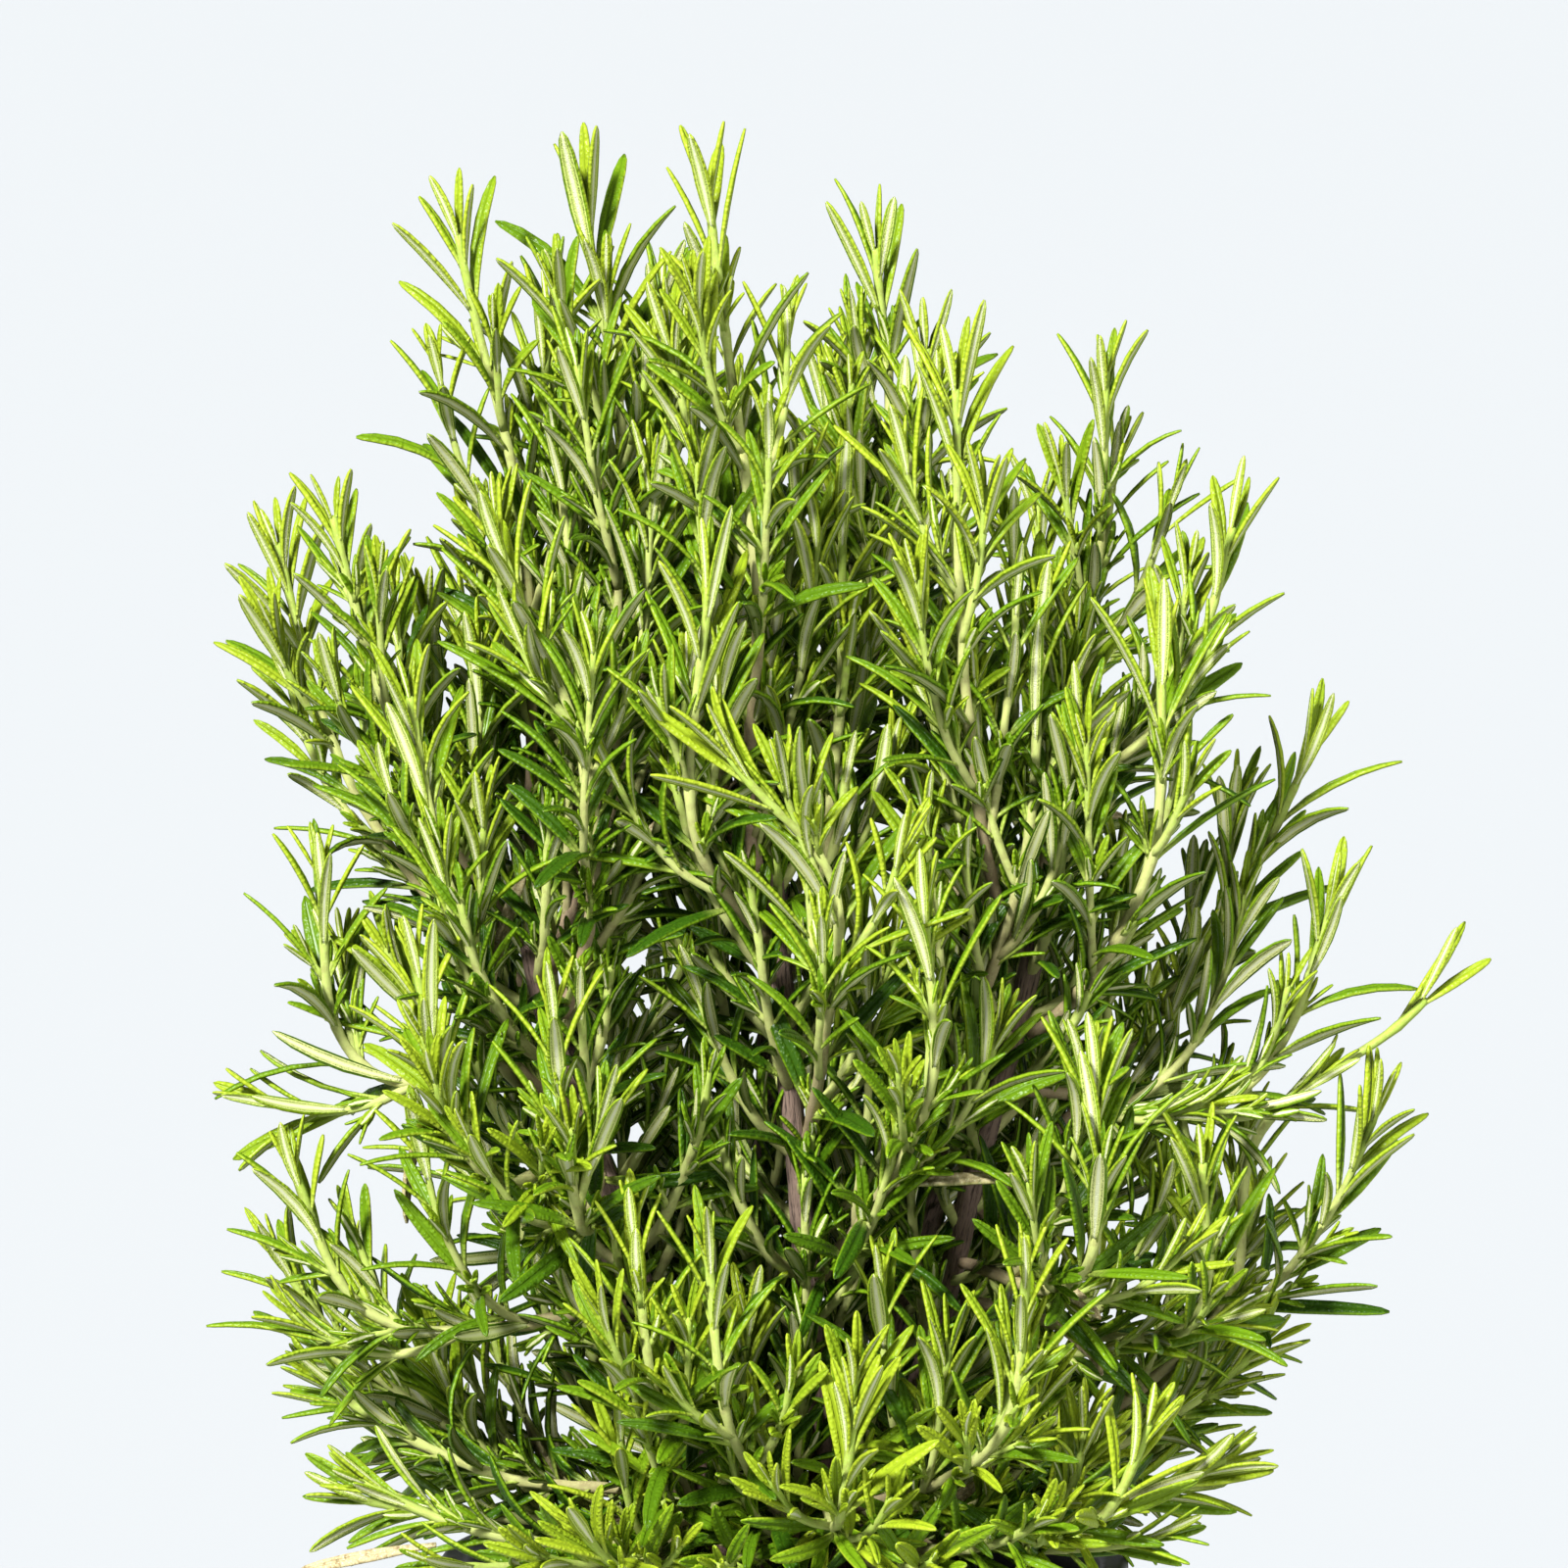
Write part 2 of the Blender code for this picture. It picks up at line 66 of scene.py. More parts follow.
MM = 0.001
UP = Vector((0, 0, 1))
ROOT = "root"
UV_MAP = "OFBake"
GOLDEN_TURN = math.radians(137.5)
SIDELONG = Vector((0.37, 0.92, 0.1))
TWIG_SIDELONG = Vector((0.3, 0.9, 0.2))
CURVE_STEP = 2.0
WANDER = 0.025
LUMP_LONG = 1.25
LUMP_WIDE = 0.8

Point = tuple[float, float, float]
Socket = bpy.types.NodeSocket


class Slot(Enum):
    """The record's material slots."""

    POT = "pot_plastic"
    SOIL = "potting_soil"
    BARK = "bark"
    SHOOT = "leafy_shoot"


class Vigour(Enum):
    """How fresh a shoot is: the share by which its leaves look younger or older than their place says. The
    value for the inner twigs is painted shade: it ages their leaves and stems darker to stand for the shade
    inside the bush.
    """

    BRIGHT = -0.20
    FRESH = -0.08
    PLAIN = 0.05
    # Painted shade: pushes the inner twigs' leaves and stems towards old, darker colours, beyond their real
    # age.
    SHADED = 0.34


# ---------------------------------------------------------------- driving sizes shared with the solids


@dataclass(frozen=True)
class PotSizes:
    """The pot's turned wall."""

    height: float = 112
    base_radius: float = 46
    top_radius: float = 63
    rim_radius: float = 67
    rim_height: float = 11
    wall: float = 1.6
    floor: float = 2.4
    step_height: float = 16
    step_depth: float = 1.0
    drain_holes: int = 6
    drain_radius: float = 4.5
    drain_circle: float = 29
    drain_turn: float = 0.58

    def wall_radius(self, height: float) -> float:
        """Outer radius of the plain wall at a height."""
        narrow = self.step_depth if height < self.step_height else 0
        return self.base_radius + (self.top_radius - self.base_radius) * height / self.height - narrow


@dataclass(frozen=True)
class SoilSizes:
    """How the soil lies in the pot."""

    below_rim: float = 13
    crown: float = 4
    root_depth: float = 26

    def height(self, pot: PotSizes, x: float, y: float) -> float:
        """Height of the crowned top at a point."""
        share = min(1.0, math.hypot(x, y) / pot.top_radius)
        return pot.height - self.below_rim + self.crown * (1 - share**2)


WOODY_STEMS = (
    ((-13, -12), (-48, -38, 236)),
    ((8, -16), (-2, -40, 252)),
    ((21, -2), (48, -30, 240)),
    ((13, 14), (50, 28, 252)),
    ((-7, 17), (0, 36, 272)),
    ((-22, 3), (-52, 22, 250)),
)

# Soft shoots that make the outline seen from the front: the points each passes, lowest first, and its tip.
FRONT_SHOOTS = (
    ((-50, -6, 312), (-62, -10, 369)),
    ((-31, 6, 318), (-38, 4, 374)),
    ((-31, -26, 318), (-43, -30, 360)),
    ((-5, -46, 305), (-14, -46, 378)),
    ((20, 34, 325), (18, 38, 364)),
    ((34, -52, 285), (32, -52, 342)),
    ((60, 8, 300), (62, 8, 342)),
    ((52, -28, 258), (74, -24, 281), (85, -22, 314)),
    ((68, -44, 250), (71, -42, 292)),
    ((78, 6, 225), (101, 4, 268)),
    ((86, -18, 205), (105, -16, 242)),
    ((84, -2, 160), (92, -4, 196), (123, -8, 222)),
    ((-72, -8, 268), (-86, -10, 315)),
    ((-82, 12, 258), (-98, 14, 308)),
    ((-36, -54, 268), (-53, -54, 314)),
    ((-56, -60, 196), (-69, -58, 236)),
    ((-38, -66, 188), (-43, -72, 228)),
    ((-24, -70, 156), (-28, -76, 190)),
    ((-10, -72, 150), (-14, -80, 184)),
    ((8, -64, 226), (9, -68, 252), (-10, -74, 276)),
    ((-17, -60, 262), (-14, -62, 306)),
    ((10, -34, 275), (11, -38, 316)),
    ((56, -62, 178), (58, -66, 216)),
    ((76, -40, 164), (79, -46, 196)),
    ((40, -70, 148), (45, -78, 182)),
    ((46, -44, 258), (48, -44, 300)),
    ((27, -66, 212), (26, -72, 248)),
    ((-76, -34, 164), (-93, -38, 194)),
    ((-78, -6, 148), (-97, -10, 172)),
    ((10, -72, 132), (13, -84, 156)),
    ((-28, -70, 122), (-38, -84, 134)),
    ((58, -60, 130), (68, -68, 150)),
    ((-80, -28, 212), (-88, -32, 250)),
    ((-62, -44, 246), (-70, -46, 284)),
)
BRIGHT_SHOOTS = {30, 31, 32}
FRESH_SHOOTS = {1, 4, 6, 12, 14, 16, 18, 20, 22, 25}
LANKY_SHOOTS = {1, 2, 4, 5, 6, 8, 9, 10, 12, 20, 21, 22, 26}
OUTLYING_SHOOTS = {12}

# Low twigs that hang over the rim: the number of the woody stem each leaves, and the points it passes.
LOW_TWIGS = (
    (0, ((-52, -34, 122), (-80, -38, 134))),
    (0, ((-42, -50, 120), (-66, -66, 124))),
    (0, ((-30, -56, 121), (-46, -80, 128))),
    (0, ((-56, -20, 132), (-90, -24, 152))),
    (5, ((-54, -6, 121), (-84, -10, 126))),
    (5, ((-56, 10, 128), (-88, 12, 146))),
    (5, ((-52, 26, 122), (-76, 34, 132))),
    (1, ((-8, -54, 122), (-12, -82, 126))),
    (1, ((20, -56, 121), (28, -82, 127))),
    (1, ((34, -50, 123), (48, -76, 134))),
    (2, ((50, -40, 121), (72, -54, 127))),
    (2, ((56, -22, 124), (84, -28, 136))),
    (2, ((60, -10, 134), (92, -14, 156))),
    (3, ((54, 6, 122), (84, 4, 128))),
    (3, ((50, 28, 126), (78, 36, 142))),
    (3, ((28, 48, 122), (44, 74, 132))),
    (4, ((4, 54, 122), (6, 82, 132))),
    (4, ((-26, 52, 123), (-42, 76, 134))),
)

# Shoots behind those, in tiers: how many, distance from the axis, tip height, and the arc in degrees.
BACK_TIERS = (
    (5, 44, 342, 35, 160),
    (5, 76, 290, 20, 165),
    (4, 86, 215, 15, 165),
    (4, 84, 155, -15, 185),
)


@dataclass
class Strand:
    """A measured stem: its points, its radius at each, and the direction it starts in."""

    name: str
    curve: list[Vector]
    radii: list[float]

    @property
    def step(self) -> float:
        """Mean distance between two points."""
        total = sum((b - a).length for a, b in zip(self.curve, self.curve[1:]))
        return total / (len(self.curve) - 1)

    @property
    def length(self) -> float:
        """Length along the curve."""
        return self.step * (len(self.curve) - 1)

    def at(self, distance: float) -> Vector:
        """The point this far along.

        Args:
            distance: millimetres from the foot.

        Returns:
            The point.
        """
        share = min(max(distance / self.step, 0), len(self.curve) - 1.001)
        low = int(share)
        return self.curve[low].lerp(self.curve[low + 1], share - low)

    def along(self, distance: float) -> Vector:
        """The direction of growth this far along."""
        return (self.at(distance + 1.5) - self.at(distance - 1.5)).normalized()

    def radius(self, distance: float) -> float:
        """The stem's radius this far along."""
        share = min(max(distance / self.length, 0), 1)
        return self.radii[0] + (self.radii[-1] - self.radii[0]) * share


@dataclass
class Skeleton:
    """The rule that routes every stem, the same as the solids follow."""

    pot: PotSizes = field(default_factory=PotSizes)
    soil: SoilSizes = field(default_factory=SoilSizes)
    woody_foot: float = 3.3
    woody_top: float = 1.9
    shoot_foot: float = 1.5
    shoot_tip: float = 0.9
    point_step: float = 2.0
    base_low: float = 113
    base_step: float = 4
    base_spacing: float = 7
    stem_gap: float = 0.8
    joint_gap: float = 0.3
    least_leaving: float = math.radians(38)
    most_leaving: float = math.radians(78)
    leaving_turns: tuple = (0, 22, -22, 44, -44)
    tier_jitter: float = 5
    tier_lean: float = 0.72
    tier_drop: float = 42
    tier_low: float = 126
    tier_seed: int = 7

    def smooth_route(self, points: list[Vector], first: Vector, last: Vector) -> list[Vector]:
        """A smooth curve through points.

        Args:
            points: the points it passes.
            first: its direction at the start.
            last: its direction at the end.

        Returns:
            Points along it, about one point step apart.
        """
        tangents = [first] + [(b - a) / 2 for a, b in zip(points, points[2:])] + [last]
        curve = []
        for (a, b), (leave, arrive) in zip(zip(points, points[1:]), zip(tangents, tangents[1:])):
            span = (b - a).length
            leave, arrive = leave.normalized() * span, arrive.normalized() * span
            count = max(2, round(span / self.point_step))
            for k in range(count):
                t = k / count
                curve.append(
                    a * (2 * t**3 - 3 * t**2 + 1)
                    + leave * (t**3 - 2 * t**2 + t)
                    + b * (3 * t**2 - 2 * t**3)
                    + arrive * (t**3 - t**2)
                )
        return curve + [points[-1]]

    @staticmethod
    def taper(count: int, foot: float, tip: float) -> list[float]:
        """Radii that shrink evenly from foot to tip."""
        return [foot + (tip - foot) * k / (count - 1) for k in range(count)]

    def woody_strand(self, number: int) -> Strand:
        """One woody stem: straight in the soil, then leaning over to its top.

        Args:
            number: its place in WOODY_STEMS.

        Returns:
            Its strand.
        """
        foot, top = WOODY_STEMS[number]
        level = self.soil.height(self.pot, *foot)
        root = Vector((*foot, level - self.soil.root_depth))
        ground = Vector((*foot, level + 4))
        top = Vector(top)
        middle = ground.lerp(top, 0.5) + Vector((0, 0, 8))
        curve = self.smooth_route([root, ground], UP, UP)[:-1]
        curve += self.smooth_route([ground, middle, top], UP, UP + (top - middle).normalized())
        radii = self.taper(len(curve), self.woody_foot, self.woody_top)
        return Strand(f"woody_stem_{number + 1}", curve, radii)

    def tier_plans(self) -> list[tuple[Vector, Vector]]:
        """The shoots of the back, spread over each tier's arc.

        Returns:
            Pairs of a point to pass and a tip.
        """
        chance = random.Random(self.tier_seed)
        plans = []
        for count, distance, height, first, last in BACK_TIERS:
            for k in range(count):
                turn = math.radians(first + (last - first) * (k + 0.5) / count)
                x, y, z = (chance.uniform(-self.tier_jitter, self.tier_jitter) for _ in range(3))
                tip = Vector((distance * math.cos(turn) + x, distance * math.sin(turn) + y, height + 2 * z))
                low = max(tip.z - self.tier_drop, self.tier_low)
                plans.append((Vector((tip.x * self.tier_lean, tip.y * self.tier_lean, low)), tip))
        return plans

    def feet(self, goal: Vector, woody: list[Strand]) -> list[tuple[float, int, int]]:
        """Where a shoot that passes goal could leave a woody stem, best first.

        Args:
            goal: the first point that the shoot passes.
            woody: the woody strands.

        Returns:
            A cost, the woody strand's number and the number of its point, for each place.
        """
        found = []
        for number, strand in enumerate(woody):
            for k in range(0, len(strand.curve) - 3, round(self.base_step / self.point_step)):
                reach = goal - strand.curve[k]
                across = math.hypot(reach.x, reach.y)
                if strand.curve[k].z >= self.base_low and reach.z > 0.1 * across - 10:
                    found.append((across + 0.3 * abs(reach.z - 0.9 * across), number, k))
        return sorted(found)

    def shoot_curve(self, passed: tuple, strand: Strand, k: int, turn: float) -> list[Vector]:
        """The curve of a shoot from one point of a woody stem through the points it should pass.

        Args:
            passed: the points, its tip last.
            strand: the woody strand.
            k: the point of it that the shoot leaves.
            turn: how far its start turns about the woody stem, in radians.

        Returns:
            The points of the curve.
        """
        axis = strand.curve[k]
        along = (strand.curve[k + 1] - axis).normalized()
        reach = passed[0] - axis
        angle = min(self.most_leaving, max(self.least_leaving, along.angle(reach)))
        outward = (reach - along * reach.dot(along)).normalized()
        outward = outward * math.cos(turn) + along.cross(outward) * math.sin(turn)
        leaving = along * math.cos(angle) + outward * math.sin(angle)
        bark = self.woody_foot + (self.woody_top - self.woody_foot) * k / len(strand.curve)
        foot = axis + outward * (bark + self.joint_gap + self.shoot_foot * 0.8)
        arriving = (passed[-1] - passed[-2]).normalized() + UP * 0.35
        return self.smooth_route([foot, *passed], leaving, arriving)

    def shoots(self, woody: list[Strand]) -> list[Strand]:
        """Every soft shoot's stem, each clear of those before it.

        Args:
            woody: the woody strands.

        Returns:
            The shoots' strands.
        """
        taken = np.vstack([np.array([tuple(p) for p in s.curve]) for s in woody])
        thick = np.concatenate([s.radii for s in woody])
        plans = [tuple(Vector(p) for p in plan) for plan in FRONT_SHOOTS] + self.tier_plans()
        made, used = [], []
        for index, passed in enumerate(plans):
            for (_, number, k), turn in product(self.feet(passed[0], woody), self.leaving_turns):
                if any(n == number and abs(k - j) * self.point_step < self.base_spacing for n, j in used):
                    continue
                curve = self.shoot_curve(passed, woody[number], k, math.radians(turn))
                radii = self.taper(len(curve), self.shoot_foot, self.shoot_tip)
                points = np.array([tuple(p) for p in curve])
                apart = np.linalg.norm(points[2:, None] - taken[None], axis=2)
                if (apart - np.array(radii)[2:, None] - thick[None] > self.stem_gap).all():
                    used.append((number, k))
                    taken, thick = np.vstack([taken, points]), np.append(thick, radii)
                    made.append(Strand(f"shoot_{index + 1:02d}", curve, radii))
                    break
        return made


# ---------------------------------------------------------------- meshes


@dataclass
class Skin:
    """Points, four-cornered faces and the numbers that a material reads, gathered for one mesh."""

    points: list[np.ndarray] = field(default_factory=list)
    quads: list[np.ndarray] = field(default_factory=list)
    uvs: list[np.ndarray] = field(default_factory=list)
    floats: dict[str, list[np.ndarray]] = field(default_factory=dict)
    grain: list[np.ndarray] = field(default_factory=list)
    count: int = 0

    def add(
        self, points: np.ndarray, quads: np.ndarray, uvs: np.ndarray, grain: np.ndarray, **floats: np.ndarray
    ) -> None:
        """Adds a patch.

        Args:
            points: (n, 3) millimetres.
            quads: (m, 4) point numbers within the patch.
            uvs: (m, 4, 2) places in the texture square.
            grain: (n, 3) millimetres in the patch's own directions.
            floats: (n,) values by name.
        """
        self.points.append(points)
        self.quads.append(quads + self.count)
        self.uvs.append(uvs)
        self.grain.append(grain)
        for name, values in floats.items():
            self.floats.setdefault(name, []).append(values)
        self.count += len(points)

    def build(self, name: str, material: bpy.types.Material) -> bpy.types.Object:
        """One smooth object from all the patches.

        Args:
            name: the piece's name.
            material: its finish.

        Returns:
            The object.
        """
        points = np.vstack(self.points) * MM
        quads = np.vstack(self.quads)
        mesh = bpy.data.meshes.new(name)
        mesh.vertices.add(len(points))
        mesh.vertices.foreach_set("co", points.astype(np.float32).ravel())
        mesh.loops.add(quads.size)
        mesh.loops.foreach_set("vertex_index", quads.astype(np.int32).ravel())
        mesh.polygons.add(len(quads))
        mesh.polygons.foreach_set("loop_start", np.arange(0, quads.size, 4, dtype=np.int32))
        for label, parts in self.floats.items():
            layer = mesh.attributes.new(label, "FLOAT", "POINT")
            layer.data.foreach_set("value", np.concatenate(parts).astype(np.float32))
        layer = mesh.attributes.new("grain", "FLOAT_VECTOR", "POINT")
        layer.data.foreach_set("vector", np.vstack(self.grain).astype(np.float32).ravel())
        mesh.uv_layers.new(name=UV_MAP)
        mesh.uv_layers[UV_MAP].uv.foreach_set("vector", np.vstack(self.uvs).astype(np.float32).ravel())
        mesh.update(calc_edges=True)
        mesh.shade_smooth()
        mesh.materials.append(material)
        ob = bpy.data.objects.new(name, mesh)
        bpy.context.scene.collection.objects.link(ob)
        return ob


def place(ob: bpy.types.Object, slot: Slot, *nodes: str) -> bpy.types.Object:
    """Hands a finished piece to the frame.

    Args:
        ob: the piece.
        slot: the record's slot for its finish; not used.
        nodes: the solids it stands for.

    Returns:
        The same piece.
    """
    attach(ob, ROOT)
    if nodes:
        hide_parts(*nodes)
    log.info("%s: %d faces", ob.name, len(ob.data.polygons))
    return ob


def cells(count: int, tall: float) -> tuple[int, int]:
    """Columns and rows of a grid of at least count cells, each about tall times as tall as it is wide."""
    columns = max(1, math.ceil(math.sqrt(count * tall)))
    return columns, math.ceil(count / columns)


@dataclass(frozen=True)
class LeafForm:
    """A leaf cut across and the places along it where it is cut.

    The top has a groove along its middle, the edges are rolled under, and a raised rib stands between two
    felted channels underneath.
    """

    stations: tuple = (0.0, 0.08, 0.25, 0.45, 0.66, 0.84, 0.95, 1.0)
    outline: tuple = (
        (-1.0, 0.0),
        (-0.80, 0.82),
        (-0.38, 1.0),
        (0.0, 0.38),
        (0.38, 1.0),
        (0.80, 0.82),
        (1.0, 0.0),
        (0.84, -0.90),
        (0.52, -0.34),
        (0.0, -0.66),
        (-0.52, -0.34),
        (-0.84, -0.90),
    )

    @classmethod
    def small(cls) -> "LeafForm":
        """A plainer form for the smallest leaves.

        Returns:
            The form.
        """
        outline = (
            (-1.0, 0.0), (-0.5, 1.0), (0.0, 0.45), (0.5, 1.0),
            (1.0, 0.0), (0.7, -0.8), (0.0, -0.6), (-0.7, -0.8),
        )
        return cls((0.0, 0.15, 0.45, 0.75, 0.94, 1.0), outline)

    @property
    def under(self) -> np.ndarray:
        """1 at the points of the felted underside, 0 elsewhere."""
        return np.array([1.0 if z < -0.2 and abs(x) < 0.65 else 0.0 for x, z in self.outline])


@dataclass
class Leaf:
    """One leaf as it grows: where, which way, how big and how old."""

    foot: Vector
    along: Vector
    top: Vector
    length: float
    half_width: float
    curl: float
    sway: float
    twist: float
    age: float
    tint: float
    dry: float = 0.0


# Leaves that stand alone: the large one that reaches out low on the right, and a withered one at the left.
LONE_LEAVES = {
    "shoot_12": Leaf(
        Vector((86, -5, 162)),
        Vector((1, -0.04, 0.04)).normalized(),
        Vector((-0.06, -0.62, 0.78)).normalized(),
        31, 1.9, 0.15, 0.02, 0.1, 0.85, 0.4,
    ),
    "woody_stem_1": Leaf(
        Vector((-66, -40, 122)),
        Vector((-1, 0.0, -0.14)).normalized(),
        Vector((-0.12, -0.4, 0.9)).normalized(),
        27, 1.5, 0.2, 0.06, 0.5, 0.9, 0.2, 0.9,
    ),
}


@dataclass
class Leaves:
    """All the leaves of one piece."""

    leaves: list[Leaf] = field(default_factory=list)
    small_below: float = 11
    half_thick: float = 0.55

    @staticmethod
    def width_share(t: np.ndarray) -> np.ndarray:
        """Width along a leaf: a narrow foot, widest about the middle, and a tapered blunt tip.

        Args:
            t: places along the leaf, 0 at its foot and 1 at its tip.

        Returns:
            The share of the full width at each.
        """
        rise = np.clip(t / 0.42, 0, 1)
        swell = 0.38 + 0.62 * rise * rise * (3 - 2 * rise)
        end = np.clip((t - 0.5) / 0.5, 0, 1)
        return swell * (1 - 0.36 * end**2) * np.sqrt(1 - 0.97 * end**6)

    def add_lone(self, owner: str) -> None:
        """Adds the lone leaf that stands on this stem, if there is one."""
        if owner in LONE_LEAVES:
            self.leaves.append(LONE_LEAVES[owner])

    def build(self, name: str, material: bpy.types.Material) -> bpy.types.Object:
        """All the leaves as one object.

        Args:
            name: the piece's name.
            material: the leaf material.

        Returns:
            The object.
        """
        skin = Skin()
        long_ones = [leaf for leaf in self.leaves if leaf.length >= self.small_below]
        short_ones = [leaf for leaf in self.leaves if leaf.length < self.small_below]
        self.add_leaves(skin, long_ones, LeafForm(), 0)
        self.add_leaves(skin, short_ones, LeafForm.small(), len(long_ones))
        return skin.build(name, material)

    def add_leaves(self, skin: Skin, leaves: list[Leaf], form: LeafForm, first: int) -> None:
        """Adds leaves of one form to a skin.

        Args:
            skin: gathers them.
            leaves: the leaves.
            form: their section and stations.
            first: the number of the first of them within the piece, for its place in the texture square.
        """
        if not leaves:
            return
        t = np.array(form.stations)
        outline = np.array(form.outline)
        rings, sides, count = len(t), len(outline), len(leaves)
        foot, along, top = (
            np.array([tuple(getattr(leaf, key)) for leaf in leaves]) for key in ("foot", "along", "top")
        )
        length, half, curl, sway, twist, age, tint, dry = (
            np.array([getattr(leaf, key) for leaf in leaves])[:, None]
            for key in ("length", "half_width", "curl", "sway", "twist", "age", "tint", "dry")
        )
        side = np.cross(along, top)
        bend = np.where(np.abs(curl) < 1e-3, 1e-3, curl)
        forward = np.sin(bend * t) / bend * length
        down = (1 - np.cos(bend * t)) / bend * length
        over = sway * t**2 * length
        spine = (
            foot[:, None]
            + forward[..., None] * along[:, None]
            - down[..., None] * top[:, None]
            + over[..., None] * side[:, None]
        )
        lift = np.cos(bend * t)[..., None] * top[:, None] + np.sin(bend * t)[..., None] * along[:, None]
        turn = (twist * t)[..., None]
        wide = np.cos(turn) * side[:, None] + np.sin(turn) * lift
        lift = np.cos(turn) * lift - np.sin(turn) * side[:, None]
        share = self.width_share(t)
        across = half * share
        thick = self.half_thick * (0.45 + 0.55 * np.minimum(1, half / 1.5)) * (0.35 + 0.65 * share)
        points = (
            spine[:, :, None]
            + (across[..., None] * outline[:, 0])[..., None] * wide[:, :, None]
            + (thick[..., None] * outline[:, 1])[..., None] * lift[:, :, None]
        )
        shape = (count, rings, sides)
        grain = np.stack(
            [
                across[..., None] * outline[:, 0],
                np.broadcast_to((length * t)[..., None], shape),
                np.broadcast_to((tint * 97)[..., None], shape),
            ],
            axis=-1,
        )
        quads, uvs = self.faces(rings, sides)
        columns, rows = cells(len(self.leaves), 0.3)
        number = np.arange(count)
        cell = number + first
        corner = np.stack([cell % columns, cell // columns], axis=1)[:, None, None]
        skin.add(
            points.reshape(-1, 3),
            (quads[None] + (number * rings * sides)[:, None, None]).reshape(-1, 4),
            ((corner + uvs[None]) / np.array([columns, rows])).reshape(-1, 4, 2),
            grain.reshape(-1, 3),
            age=np.broadcast_to(age[..., None], shape).ravel(),
            tint=np.broadcast_to(tint[..., None], shape).ravel(),
            dry=np.broadcast_to(dry[..., None], shape).ravel(),
            across=np.broadcast_to(outline[:, 0], shape).ravel(),
            under=np.broadcast_to(form.under, shape).ravel(),
            along=np.broadcast_to(t[None, :, None], shape).ravel(),
        )

    @staticmethod
    def faces(rings: int, sides: int) -> tuple[np.ndarray, np.ndarray]:
        """The faces of one closed leaf.

        Args:
            rings: sections along it.
            sides: points round each section.

        Returns:
            (m, 4) point numbers, and (m, 4, 2) places in one cell of the texture square.
        """
        quads, uvs = [], []
        margin, span, cap = 0.03, 0.9, 0.04
        for j, k in product(range(rings - 1), range(sides)):
            after = (k + 1) % sides
            quads.append((j * sides + k, j * sides + after, (j + 1) * sides + after, (j + 1) * sides + k))
            low, high = margin + span * j / (rings - 1), margin + span * (j + 1) / (rings - 1)
            left, right = margin + 0.94 * k / sides, margin + 0.94 * (k + 1) / sides
            uvs.append(((low, left), (low, right), (high, right), (high, left)))
        for ring, is_tip in ((0, False), (rings - 1, True)):
            for i in range(sides // 2 - 1):
                quad = [i, i + 1, sides - 2 - i, sides - 1 - i]
                low = margin + span + cap * (0.05 + 0.9 * i / (sides // 2 - 1))
                high = low + cap * 0.9 / (sides // 2 - 1)
                base = 0.52 if is_tip else 0.04
                place_in = [(low, base), (high, base), (high, base + 0.4), (low, base + 0.4)]
                order = (0, 1, 2, 3) if is_tip else (3, 2, 1, 0)
                quads.append(tuple(ring * sides + quad[c] for c in order))
                uvs.append(tuple(place_in[c] for c in order))
        return np.array(quads), np.array(uvs)


